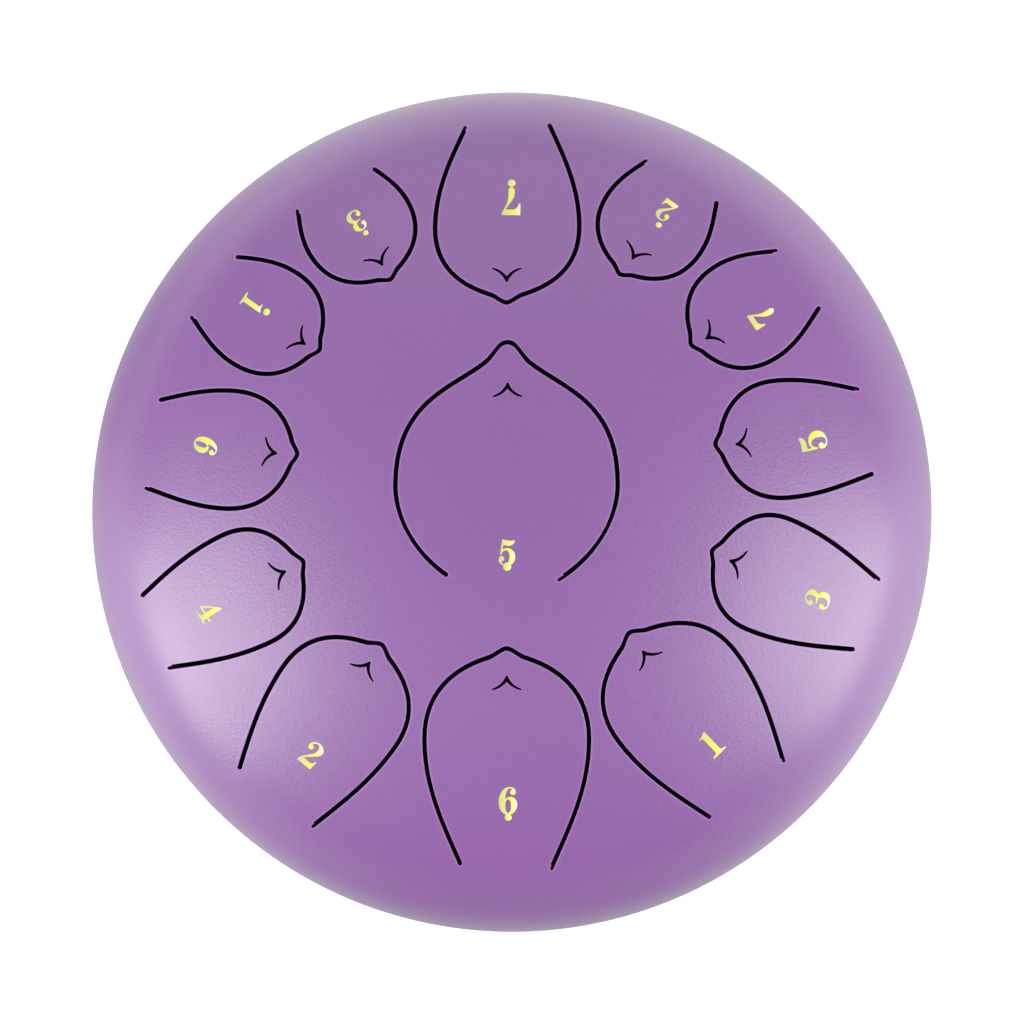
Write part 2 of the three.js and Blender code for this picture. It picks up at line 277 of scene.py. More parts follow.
speckledFinishes = {
    # painted shade: near black, so that the inside of the drum, seen through the slots and the sound hole,
    # looks dark
    "darkInside": {
        "deep": (0.006, 0.005, 0.007, 1), "pale": (0.014, 0.011, 0.016, 1), "scale": 180.0, "grit": 0.5,
        "height": 0.05 * mm, "roughness": (0.8, 0.8), "metallic": 0.0, "specular": 0.2,
    },
    "blackRubber": {
        "deep": (0.009, 0.009, 0.01, 1), "pale": (0.02, 0.02, 0.022, 1), "scale": 1500.0, "grit": 0.6,
        "height": 0.03 * mm, "roughness": (0.7, 0.9), "metallic": 0.0, "specular": 0.5,
    },
    # painted shade: a darker copy of the zinc, for the fasteners inside the drum
    "dullZinc": {
        "deep": (0.2, 0.21, 0.22, 1), "pale": (0.28, 0.285, 0.29, 1), "scale": 700.0, "grit": 0.6,
        "height": 0.01 * mm, "roughness": (0.55, 0.7), "metallic": 1.0, "specular": 0.5,
    },
    "zincSteel": {
        "deep": (0.42, 0.44, 0.46, 1), "pale": (0.56, 0.57, 0.58, 1), "scale": 900.0, "grit": 0.6,
        "height": 0.01 * mm, "roughness": (0.22, 0.4), "metallic": 1.0, "specular": 0.5,
    },
    "greyEpoxy": {
        "deep": (0.2, 0.21, 0.22, 1), "pale": (0.32, 0.33, 0.34, 1), "scale": 260.0, "grit": 0.6,
        "height": 0.1 * mm, "roughness": (0.3, 0.5), "metallic": 0.0, "specular": 0.5,
    },
}


def makeSpeckled(name):
    finish = speckledFinishes[name]
    material, tree, coords = newMaterial(name)
    mottle = noise(tree, coords, finish["scale"], detail=4.0, roughness=finish["grit"])
    smoothest, roughest = finish["roughness"]
    even = smoothest == roughest
    setShader(tree, {
        "Base Color": mottled(tree, mottle, finish),
        "Roughness": roughest if even else spread(tree, mottle, smoothest, roughest),
        "Metallic": finish["metallic"],
        "Specular IOR Level": finish["specular"],
        "Normal": bumped(tree, mottle, finish["height"]),
    })
    return material


paint = makePaint()
foil = makeFoil()
shadePaint, rubber, dullZinc, zinc, epoxy = (makeSpeckled(name) for name in speckledFinishes)
print("materials made")


# Dome profile: a crown arc, a shoulder arc and a short upright skirt

dome = {
    "crownRadius": 280 * mm,
    "shoulderRadius": 56 * mm,
    "skirt": 8 * mm,
    "sheet": 1.8 * mm,
}
topLow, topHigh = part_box("top_shell")
drumRadius = topHigh.x
shoulderCentre = drumRadius - dome["shoulderRadius"]
crownReach = dome["crownRadius"] - dome["shoulderRadius"]
crownAngle = math.asin(shoulderCentre / crownReach)
crownCentre = topLow.z + dome["skirt"] - crownReach * math.cos(crownAngle)
crownArc = dome["crownRadius"] * crownAngle
shoulderArc = dome["shoulderRadius"] * (math.pi / 2 - crownAngle)
sheetArc = crownArc + shoulderArc + dome["skirt"]


# Distance from the middle along the outside of the sheet, for plan radii at a depth in the sheet
def unrolled(radii, depth):
    crown = dome["crownRadius"] - depth
    shoulder = dome["shoulderRadius"] - depth
    onCrown = dome["crownRadius"] * np.arcsin(np.clip(radii / crown, 0, 1))
    onShoulder = np.arcsin(np.clip((radii - shoulderCentre) / shoulder, -1, 1)) - crownAngle
    onShoulder = crownArc + dome["shoulderRadius"] * onShoulder
    return np.where(radii < crown * math.sin(crownAngle), onCrown, onShoulder)


# Plan radius of the outside, at a distance along the sheet
def rolledRadius(along):
    crownTurn = min(along, crownArc) / dome["crownRadius"]
    shoulderTurn = min(max(along - crownArc, 0), shoulderArc) / dome["shoulderRadius"] + crownTurn
    radius = dome["crownRadius"] * math.sin(crownTurn)
    return radius + dome["shoulderRadius"] * (math.sin(shoulderTurn) - math.sin(crownTurn))


# Presses a flat cut sheet into the dome: X and Y are distances along the sheet, Z is the height over its
# outside. pressedNormal keeps the smooth normal, from side (1 outside, 0 edge, -1 inside) and edgeNormal.
def makePress():
    tree, given = newTree(
        "pressIntoDome", CrownRadius="Float", ShoulderRadius="Float", CrownAngle="Float",
        CrownCentre="Float", Paint="Material", Inside="Material",
    )
    position = addNode(tree, "GeometryNodeInputPosition")[0]
    x, y, rise = addNode(tree, "ShaderNodeSeparateXYZ", position)[:3]
    flat = combined(tree, x, y, 0.0)
    along = calcVector(tree, "LENGTH", flat)
    outwards = calcVector(tree, "NORMALIZE", flat)
    arc = product(tree, given["CrownRadius"], given["CrownAngle"])
    bend = calc(tree, "SUBTRACT", math.pi / 2, given["CrownAngle"])
    shoulder = product(tree, given["ShoulderRadius"], bend)
    past = calc(tree, "MAXIMUM", calc(tree, "SUBTRACT", along, arc), 0.0)
    crownTurn = calc(tree, "DIVIDE", calc(tree, "MINIMUM", along, arc), given["CrownRadius"])
    shoulderTurn = calc(tree, "DIVIDE", calc(tree, "MINIMUM", past, shoulder), given["ShoulderRadius"])
    turn = calc(tree, "ADD", crownTurn, shoulderTurn)
    drop = calc(tree, "MAXIMUM", calc(tree, "SUBTRACT", past, shoulder), 0.0)

    def onArcs(function):
        crown = product(tree, given["CrownRadius"], calc(tree, function, crownTurn))
        step = calc(tree, "SUBTRACT", calc(tree, function, turn), calc(tree, function, crownTurn))
        return calc(tree, "ADD", crown, product(tree, given["ShoulderRadius"], step))

    height = calc(tree, "SUBTRACT", calc(tree, "ADD", given["CrownCentre"], onArcs("COSINE")), drop)
    level = scaled(tree, outwards, onArcs("SINE"))
    outside = calcVector(tree, "ADD", level, combined(tree, 0.0, 0.0, height))
    lean = scaled(tree, outwards, calc(tree, "SINE", turn))
    normal = calcVector(tree, "ADD", lean, combined(tree, 0.0, 0.0, calc(tree, "COSINE", turn)))
    place = calcVector(tree, "ADD", outside, scaled(tree, normal, rise))
    side = addNode(tree, "GeometryNodeInputNamedAttribute", "side", data_type="FLOAT")[0]
    edge = addNode(tree, "GeometryNodeInputNamedAttribute", "edgeNormal", data_type="FLOAT_VECTOR")[0]
    hidden = addNode(tree, "GeometryNodeInputNamedAttribute", "hidden", data_type="BOOLEAN")[0]
    smooth = calcVector(tree, "NORMALIZE", calcVector(tree, "ADD", scaled(tree, normal, side), edge))
    kept = addNode(
        tree, "GeometryNodeStoreNamedAttribute",
        named={"Geometry": given["Geometry"], "Name": "pressedNormal", "Value": smooth},
        data_type="FLOAT_VECTOR", domain="POINT",
    )[0]
    pressed = addNode(tree, "GeometryNodeSetPosition", named={"Geometry": kept, "Position": place})[0]
    # Faces marked as shaded take the near-black painted shade
    closeTree(tree, pressed, (given["Paint"], None), (given["Inside"], hidden))
    return tree


pressIntoDome = makePress()


# A polygon's numbers in anticlockwise order
def leftTurned(coords, polygon):
    pairs = zip(polygon, polygon[1:] + polygon[:1])
    area = sum(coords[a].x * coords[b].y - coords[a].y * coords[b].x for a, b in pairs)
    return polygon if area > 0 else polygon[::-1]


# Flat sheet under construction: rows of x, y, z, the two normal values and the share of the painted
# highlight
class FlatSheet:
    def __init__(self):
        self.points = []
        self.sides = []
        self.edges = []
        self.paintedHighlights = []

    # Adds plan points at a depth in the sheet and returns their numbers
    def add(self, plan, depth, side, edge=None, lip=0.0):
        radii = np.maximum(np.hypot(plan[:, 0], plan[:, 1]), 1e-9)
        return self.addFlat(plan * (unrolled(radii, depth) / radii)[:, None], depth, side, edge, lip)

    def addFlat(self, flat, depth, side, edge=None, lip=0.0):
        start = len(self.points)
        edge = np.zeros((len(flat), 3)) if edge is None else edge
        for (x, y), direction in zip(flat, edge):
            self.points.append((x, y, -depth))
            self.sides.append(side)
            self.edges.append(tuple(direction))
            self.paintedHighlights.append(lip)
        return list(range(start, len(self.points)))

    # Triangles of one layer, each with the set of the polygons that it lies in
    def fill(self, polygons, loose):
        numbers = sorted({n for polygon in polygons for n in polygon} | set(loose))
        local = {n: i for i, n in enumerate(numbers)}
        coords = [Vector(self.points[n][:2]) / mm for n in numbers]
        outlines = [leftTurned(coords, [local[n] for n in polygon]) for polygon in polygons]
        found = delaunay_2d_cdt(coords, [], outlines, 0, 1e-6, True)
        back = [numbers[source[0]] for source in found[3]]
        return [([back[i] for i in face], set(owners)) for face, owners in zip(found[2], found[5])]

    # The piece made of some of the faces, pressed into the dome
    def piece(self, name, faces, hidden, outer, inner):
        used = sorted({n for face in faces for n in face})
        local = {n: i for i, n in enumerate(used)}
        piece = meshObject(name, [self.points[n] for n in used], [[local[n] for n in f] for f in faces])
        mesh = piece.data
        storeValues(mesh, "side", "FLOAT", "POINT", [self.sides[n] for n in used])
        storeValues(mesh, "edgeNormal", "FLOAT_VECTOR", "POINT", [c for n in used for c in self.edges[n]])
        storeValues(mesh, "lip", "FLOAT", "POINT", [self.paintedHighlights[n] for n in used])
        storeValues(mesh, "hidden", "BOOLEAN", "FACE", hidden)
        bakeTree(
            piece, pressIntoDome, CrownRadius=dome["crownRadius"], ShoulderRadius=dome["shoulderRadius"],
            CrownAngle=crownAngle, CrownCentre=crownCentre, Paint=outer, Inside=inner,
        )
        mesh = piece.data
        normals = np.zeros(len(mesh.vertices) * 3, np.float32)
        mesh.attributes["pressedNormal"].data.foreach_get("vector", normals)
        mesh.polygons.foreach_set("use_smooth", [True] * len(mesh.polygons))
        mesh.normals_split_custom_set_from_vertices(normals.reshape(-1, 3).tolist())
        for label in ("side", "edgeNormal", "hidden", "pressedNormal"):
            mesh.attributes.remove(mesh.attributes[label])
        return piece


# Cut pattern: one edge shape for the tongues of the ring and one for the middle tongue, as shares of a
# tongue's own widths and lengths

cut = {
    "kerf": 1.5 * mm,           # the slots' width in the CAD solids
    "slot": 1.6 * mm,           # opened a little by the cut's melted edges
    "edgeRound": 0.2 * mm,
    "slitRound": 0.12 * mm,
    "lip": 0.7 * mm,            # the painted highlight reaches this far from a slot,
    "slitPaintedHighlight": 0.3 * mm,        # and this far from a slit
    "tail": 1.3 * mm,           # narrow end of a slot, where the cut was started, on the right
    "tailWidth": 1.15 * mm,
    "tailStep": 0.2 * mm,
    "edgeSteps": 18,
    "capSteps": 8,
    "chordSteps": 10,
    "rimSteps": 384,
    "gridStep": 3.6 * mm,
    "insideGridStep": 8 * mm,
    "gridClear": 0.5,           # grid points keep this share of a step away from the cuts
    "paintDepth": 0.6,          # faces wholly below this share of the sheet take the painted shade
    "ringEdge": {
        "ogee": 0.22, "ogeeShare": 0.11, "slope": 72, "rootPull": 0.33, "rootFlare": 0.49,
        "bellyHold": 0.38, "turn": 0.69, "ease": 0.29, "neck": 0.35, "nose": 0.28,
    },
    "middleEdge": {
        "ogee": 0.21, "ogeeShare": 0.19, "slope": 52.5, "rootPull": 0.24, "rootFlare": 0.63,
        "bellyHold": 0.36, "turn": 0.68, "ease": 0.39, "neck": 0.57, "nose": 0.43,
    },
}
chevron = {
    "halfSpan": 5.0 * mm,
    "depth": 4.85 * mm,
    "width": 2.15 * mm,
    "noseWidth": 1.05 * mm,
    "endWidth": 0.55 * mm,
    "foreBend": (3.4 * mm, 1.8 * mm),
    "backBend": (4.6 * mm, 2.0 * mm),
    "lean": 0.33,               # share of the angle from the tongue's line to the middle of the pattern
    "steps": 9,
    "endSteps": 5,
    "noseSteps": 4,
}
# Per tongue, in millimetres: how far from its root the slot starts on the left and on the right; how far its
# edge is off its place, across at the root, across at the tip and along; how far its slit is off, along and
# across
cutPlaces = {
    "low_5": {"starts": (1.3, -0.3), "edge": (0.3, -0.3, -0.2), "slit": (1.0, -0.3)},
    "low_6": {"starts": (1.5, -0.4), "edge": (0, 0, 0.1), "slit": (0.6, 0)},
    "low_7": {"starts": (0.6, 1.4), "edge": (0.5, -0.1, 0.4), "slit": (0.2, 0)},
    "1": {"starts": (0.6, 0.5), "edge": (-0.1, -0.1, 0.1), "slit": (0.1, 0.1)},
    "2": {"starts": (1.4, -0.8), "edge": (-0.5, -0.1, -0.5), "slit": (-0.1, -0.2)},
    "3": {"starts": (0.1, 0.8), "edge": (0.2, -0.1, -0.6), "slit": (-0.5, 0.8)},
    "4": {"starts": (1.8, -0.5), "edge": (-0.5, 0, 0.1), "slit": (0.2, -0.6)},
    "5": {"starts": (-0.3, 1.8), "edge": (0.5, 0.1, -0.2), "slit": (0.2, 0.8)},
    "6": {"starts": (2.0, -0.6), "edge": (-0.5, 0.2, 0.2), "slit": (-0.1, -0.1)},
    "7": {"starts": (-0.6, 1.1), "edge": (0.7, -0.2, -0.6), "slit": (-0.2, 0.8)},
    "high_1": {"starts": (2.1, -0.3), "edge": (-0.7, 0.5, -0.3), "slit": (0.1, -0.4)},
    "high_2": {"starts": (-0.3, 0.7), "edge": (0.6, 0.1, -0.5), "slit": (-0.2, 0.8)},
    "high_3": {"starts": (1.0, 0.0), "edge": (-0.2, 0.6, 0), "slit": (0.5, 0.7)},
}
middleNote = "low_5"


def unit(vectors):
    return vectors / np.linalg.norm(vectors, axis=-1, keepdims=True)


# Vectors turned a quarter to the left
def leftOf(vectors):
    return np.stack([-vectors[..., 1], vectors[..., 0]], axis=-1)


def bezier(a, b, c, d, steps, start=0.0):
    t = np.linspace(start, 1, steps + 1)[:, None]
    a, b, c, d = (np.asarray(p, float) for p in (a, b, c, d))
    return (1 - t) ** 3 * a + 3 * t * (1 - t) ** 2 * b + 3 * t * t * (1 - t) * c + t**3 * d


# An edge from its left half and its right half, both drawn on the left of the tongue
def joined(left, right):
    return np.vstack([left, right[-2::-1] * (1, -1)])


# The cut pattern sits to one side, with the middle tongue's root on its middle line
patternMiddle = next(
    Vector((joint["pos_m"][0], 0, 0)) for joint in frame["joints"] if joint["name"] == middleNote + "_bend")
# Which corners of a tongue's solid count as on its axis, before its tip and at its root
measuring = {"axisWidth": 0.02 * mm, "tipClear": 1 * mm, "rootDepth": 0.05 * mm}


# A tongue's frame and sizes, from its hinge and its CAD solid
def measureTongue(joint):
    note = joint["name"].removesuffix("_bend")
    places = cutPlaces[note]
    root = Vector(joint["pos_m"])
    along = Vector(joint["axis"]).cross(Vector((0, 0, 1))).normalized()
    across = Vector((0, 0, 1)).cross(along)
    solid = cadNodes["tongue_" + note].data.vertices
    lengths = np.array([(v.co - root).dot(along) for v in solid])
    widths = np.array([(v.co - root).dot(across) for v in solid])
    halfKerf = cut["kerf"] / 2
    widest = int(np.argmax(widths))
    tip = lengths.max()
    onAxis = np.abs(widths) < measuring["axisWidth"]
    slitAt = lengths[onAxis & (lengths < tip - measuring["tipClear"])].max()
    atRoot = lengths < lengths.min() + measuring["rootDepth"]
    toMiddle = patternMiddle - root - along * slitAt
    aside = math.atan2(toMiddle.dot(across), toMiddle.dot(along))
    return {
        "note": note,
        "root": root,
        "along": along,
        "across": across,
        "length": tip + halfKerf + places["edge"][2] * mm,
        "rootHalf": widths[atRoot].max() + halfKerf,
        "bellyHalf": widths[widest] + halfKerf,
        "bellyAt": lengths[widest],
        "slitAt": slitAt,
        "towardsMiddle": 0 if note == middleNote else aside,
        "edge": cut["middleEdge"] if note == middleNote else cut["ringEdge"],
        "starts": [start * mm + tail for start, tail in zip(places["starts"], (0, cut["tail"]))],
    }


# The three curves of half an edge, from the root over the widest place and the ogee to the tip, set out from
# the slot's middle line
def edgeStretches(tongue, offset):
    shape = tongue["edge"]
    belly, bellyAt = tongue["bellyHalf"], tongue["bellyAt"]
    slope = math.radians(shape["slope"])
    heading = np.array((math.cos(slope), -math.sin(slope)))
    pull = np.array((shape["rootPull"] * bellyAt, shape["rootFlare"] * (belly - tongue["rootHalf"])))
    root = np.array((0, tongue["rootHalf"])) + leftOf(unit(pull)) * offset
    widest = np.array((bellyAt, belly + offset))
    ogee = np.array((tongue["length"] - shape["ogeeShare"] * belly, shape["ogee"] * belly))
    ogee = ogee + leftOf(heading) * offset
    tip = np.array((tongue["length"] + offset, 0))
    beforeWidest = ((1 - shape["bellyHold"]) * bellyAt, widest[1])
    afterWidest = (bellyAt + shape["turn"] * (ogee[0] - bellyAt), widest[1])
    return [
        (root, root + pull, beforeWidest, widest),
        (widest, afterWidest, ogee - heading * shape["ease"] * belly, ogee),
        (ogee, ogee + heading * shape["neck"] * ogee[1], (tip[0], shape["nose"] * ogee[1]), tip),
    ]


tracing = {"steps": 60, "from": -0.2}    # the middle line is followed from this share of its first curve


# Half of a tongue's edge from the slot's start to the tip
def halfEdge(tongue, offset, start):
    middle = bezier(*edgeStretches(tongue, 0)[0], tracing["steps"], tracing["from"])
    shares = np.linspace(tracing["from"], 1, tracing["steps"] + 1)
    fromRoot, *others = edgeStretches(tongue, offset)
    curves = [bezier(*fromRoot, cut["edgeSteps"], np.interp(start, middle[:, 0], shares))]
    curves += [bezier(*stretch, cut["edgeSteps"])[1:] for stretch in others]
    return np.vstack(curves)


# Both halves of an edge, moved across to where they are cut
def wholeEdge(tongue, halves):
    edge = joined(*halves)
    atRoot, atTip, _ = cutPlaces[tongue["note"]]["edge"]
    edge[:, 1] += (atRoot + (atTip - atRoot) * edge[:, 0] / tongue["length"]) * mm
    return edge


# The tongue's own cut edge, and the shell's, which goes round the ends of the slot first
def tongueEdge(tongue, inset):
    offset = -cut["slot"] / 2 - inset
    return wholeEdge(tongue, [halfEdge(tongue, offset, start) for start in tongue["starts"]])


def shellEdge(tongue, inset):
    starts = zip(tongue["starts"], (0, cut["tail"]))
    return wholeEdge(tongue, [slotEnd(tongue, inset, start, tail) for start, tail in starts])


# The shell's half of an edge: a round end of the slot, after a step to its narrow tail if it has one, then
# the slot's far side
def slotEnd(tongue, inset, start, tail):
    radius = cut["slot"] / 2 + inset
    outer = halfEdge(tongue, radius, start - tail)
    inner = halfEdge(tongue, -radius, start)[0]
    step = []
    if tail:
        begin, end = (halfEdge(tongue, 0, at)[0] for at in (start, start - tail))
        back = unit(end - begin)
        corner = begin + back * (cut["tailStep"] + inset)
        narrow = cut["tailWidth"] - cut["slot"] / 2 + inset
        step = [inner, corner + leftOf(back) * radius, corner + leftOf(back) * narrow]
        inner = end + leftOf(back) * narrow
    turns = -np.linspace(0, math.pi, cut["capSteps"] + 1)[:-1, None]
    reach = (inner - outer[0]) / 2
    cap = (inner + outer[0]) / 2 + reach * np.cos(turns) + leftOf(reach) * np.sin(turns)
    return np.vstack([*step, cap, outer])


# Closed slit outline, clockwise, with a round nose and round wing ends
def slitOutline():
    end = np.array((-chevron["depth"], chevron["halfSpan"]))
    foreBend = np.array(chevron["foreBend"]) * (-1, 1)
    backBend = np.array(chevron["backBend"]) * (-1, 1)
    heading = unit(end - foreBend) * chevron["endWidth"] / 2
    side = leftOf(heading)
    t = np.linspace(0, 1, chevron["steps"] + 1)[:, None]

    def wing(start, bend, stop):
        return (1 - t) ** 2 * np.array(start) + 2 * t * (1 - t) * bend + t * t * stop

    back = wing((-chevron["width"], 0), backBend, end + side)
    noseHalf = chevron["noseWidth"] / 2
    fore = wing((-noseHalf, noseHalf), foreBend, end - side)
    turns = np.linspace(0, math.pi, chevron["endSteps"] + 1)[1:-1, None]
    cap = end + side * np.cos(turns) + heading * np.sin(turns)
    arc = np.linspace(0, math.pi / 2, chevron["noseSteps"] + 1)[1:, None]
    nose = (-noseHalf, 0) + noseHalf * np.hstack([np.sin(arc), np.cos(arc)])
    half = np.vstack([back, cap, fore[::-1], nose])
    return np.vstack([half, half[-2:0:-1] * (1, -1)])


# The slit on its tongue, turned part of the way towards the middle of the pattern
def chevronEdge(tongue, inset):
    outline = slitOutline()
    outline = outline + leftOf(unit(np.roll(outline, -1, 0) - np.roll(outline, 1, 0))) * inset
    along, across = cutPlaces[tongue["note"]]["slit"]
    turn = chevron["lean"] * tongue["towardsMiddle"]
    turned = np.array(((math.cos(turn), math.sin(turn)), (-math.sin(turn), math.cos(turn))))
    return outline @ turned + (tongue["slitAt"] + along * mm, across * mm)


# An outline on a tongue, in the drum's plan
def placed(tongue, outline):
    root, along, across = (np.array(tongue[key])[:2] for key in ("root", "along", "across"))
    return root + outline[:, :1] * along + outline[:, 1:] * across


# Rounded edge through the sheet: inset, depth, the shares of the face and of the edge in the normal, and the
# share of the painted highlight
def edgeRows(rounding, lip):
    sheet = dome["sheet"]
    part = math.sqrt(0.5)
    near = rounding * (1 - part)
    return [
        (rounding + lip, 0, 1, 0, 0), (rounding, 0, 1, 0, 1), (near, near, part, part, 1),
        (0, rounding, 0, 1, 0.5), (0, sheet - rounding, 0, 1, 0), (near, sheet - near, -part, part, 0),
        (rounding, sheet, -1, 0, 0),
    ]


# Rows of points down a cut edge, where outline gives the plan edge at an inset
def cutRows(sheet, outline, rounding, lip):
    away = unit(outline(0) - outline(rounding))
    away = np.column_stack([away, np.zeros(len(away))])
    rows = []
    for inset, depth, side, edge, share in edgeRows(rounding, lip):
        rows.append(sheet.add(outline(inset), depth, side, away * edge, share))
    return rows


# Wall quads between rows; the open side is on the left of the rows, or on the right when turned
def wallFaces(rows, closed, turned):
    faces = []
    for upper, lower in zip(rows, rows[1:]):
        count = len(upper)
        for i in range(count if closed else count - 1):
            k = (i + 1) % count
            face = [upper[i], upper[k], lower[k], lower[i]]
            faces.append(face[::-1] if turned else face)
    return faces


# Parting across a tongue's root, shared by the tongue and the shell
def chordRows(sheet, tongue):
    edge = tongueEdge(tongue, cut["edgeRound"] + cut["lip"])
    shares = np.linspace(0, 1, cut["chordSteps"] + 1)[1:-1, None]
    line = placed(tongue, edge[-1] + (edge[0] - edge[-1]) * shares)
    return [sheet.add(line, depth, side) for depth, side in ((0, 1), (dome["sheet"], -1))]


# Closing wall along the parting: the chord between the two rows, and the rounded ends of the cut edge
def chordFaces(chord, rows, turned):
    top = [rows[0][-1], *chord[0], rows[0][0]]
    bottom = [rows[-1][-1], *chord[-1], rows[-1][0]]
    faces = wallFaces([top, bottom], False, turned)
    rightEnd = [row[0] for row in rows]
    leftEnd = [row[-1] for row in rows][::-1]
    return faces + [end[::-1] if turned else end for end in (rightEnd, leftEnd)]


def gridPoints(step):
    points = [(0.0, 0.0)]
    count = int(sheetArc / step)
    for ring in range(1, count):
        along = ring * sheetArc / count
        number = round(2 * math.pi * rolledRadius(along) / step)
        for i in range(number):
            angle = (i + 0.5 * (ring % 2)) * 2 * math.pi / number
            points.append((along * math.cos(angle), along * math.sin(angle)))
    return points


# Grid points that keep clear of the outlines
def looseGrid(sheet, outlines, step, depth, side):
    numbers = [n for outline in outlines for n in outline]
    tree = KDTree(len(numbers))
    for i, n in enumerate(numbers):
        tree.insert((*sheet.points[n][:2], 0), i)
    tree.balance()
    clear = [p for p in gridPoints(step) if tree.find((*p, 0))[2] > cut["gridClear"] * step]
    return sheet.addFlat(clear, depth, side)


# Rows round the lower edge of the skirt
def rimRows(sheet):
    angles = np.arange(cut["rimSteps"]) * 2 * math.pi / cut["rimSteps"]
    circle = np.column_stack([np.cos(angles), np.sin(angles)])
    down = np.tile((0.0, 0.0, -1.0), (cut["rimSteps"], 1))
    rows = []
    for inset, depth, side, edge, _ in edgeRows(cut["edgeRound"], cut["lip"]):
        rows.append(sheet.addFlat(circle * (sheetArc - inset), depth, side, down * edge))
    return rows


# Rows of the cuts round a tongue: the shell's edge, its own edge, its slit, and the parting at its root
def cutTongue(sheet, tongue):
    def rows(edge, rounding, lip):
        return cutRows(sheet, lambda inset: placed(tongue, edge(tongue, inset)), rounding, lip)

    hole = rows(shellEdge, cut["edgeRound"], cut["lip"])
    blade = rows(tongueEdge, cut["edgeRound"], cut["lip"])
    slit = rows(chevronEdge, cut["slitRound"], cut["slitPaintedHighlight"])
    for holeRow, bladeRow in zip(hole, blade):
        holeRow[0] = bladeRow[0]
        holeRow[-1] = bladeRow[-1]
    return hole, blade, slit, chordRows(sheet, tongue)


# The piece that a triangle belongs to, by the outlines it lies in: the rim is outline 0, and each tongue has
# three, its hole, its blade and its slit. The shell is piece 0, and a triangle in a slot or slit has none.
def pieceOf(outlines):
    holes = [n for n in outlines if n % 3 == 1]
    if not holes:
        return 0 if 0 in outlines else None
    onBlade = holes[0] + 1 in outlines and holes[0] + 2 not in outlines
    return (holes[0] + 2) // 3 if onBlade else None


# One face of the sheet, filled at once and shared out between the pieces
def fillFace(sheet, rim, cuts, row, step, depth, side):
    polygons = [rim[row]]
    for hole, blade, slit, chord in cuts:
        polygons += [hole[row] + chord[row], blade[row] + chord[row], slit[row]]
    loose = looseGrid(sheet, polygons, step, depth, side)
    shares = [[] for _ in range(len(cuts) + 1)]
    for face, outlines in sheet.fill(polygons, loose):
        piece = pieceOf(outlines)
        if piece is not None:
            shares[piece].append(face if side > 0 else face[::-1])
    return shares


def buildTop():
    sheet = FlatSheet()
    rim = rimRows(sheet)
    cuts = [cutTongue(sheet, tongue) for tongue in tongues]
    walls = [wallFaces(rim, True, True)]
    for hole, blade, slit, chord in cuts:
        walls[0] += wallFaces(hole, False, True) + chordFaces(chord, hole, True)
        own = wallFaces(blade, False, False) + wallFaces(slit, True, True)
        walls.append(own + chordFaces(chord, blade, False))
    outer = fillFace(sheet, rim, cuts, 0, cut["gridStep"], 0, 1)
    inner = fillFace(sheet, rim, cuts, -1, cut["insideGridStep"], dome["sheet"], -1)
    # Faces deep in the cuts and on the inside take the painted shade
    shadedBelow = -cut["paintDepth"] * dome["sheet"]
    made = []
    for name, *shares in zip(topNames, outer, inner, walls):
        faces = sum(shares, [])
        hidden = [max(sheet.points[n][2] for n in face) < shadedBelow for face in faces]
        made.append(sheet.piece(name, faces, hidden, paint, shadePaint))
    return made


# A tongue bends between the shell, at its root, and its own body, at its tip; here its piece only has its
# placement baked into its mesh
def bendWith(piece):
    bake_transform(piece)


tongues = [measureTongue(joint) for joint in frame["joints"]]
topNames = ["pressed_top"] + ["sprung_" + tongue["note"] for tongue in tongues]
topPieces = buildTop()
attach(topPieces[0], "shell")
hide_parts("top_shell")
for tongue, piece in zip(tongues, topPieces[1:]):
    bendWith(piece)
    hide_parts("tongue_" + tongue["note"])
print("top sheet pressed:", sum(len(piece.data.polygons) for piece in topPieces), "faces")


# Foil numbers. Each contour is a list of stretches in millimetres, x to the right and y up: a stretch is a
# smooth curve on from the end of the one before it, so corners are where stretches meet. Balls are x, y and
# radius.

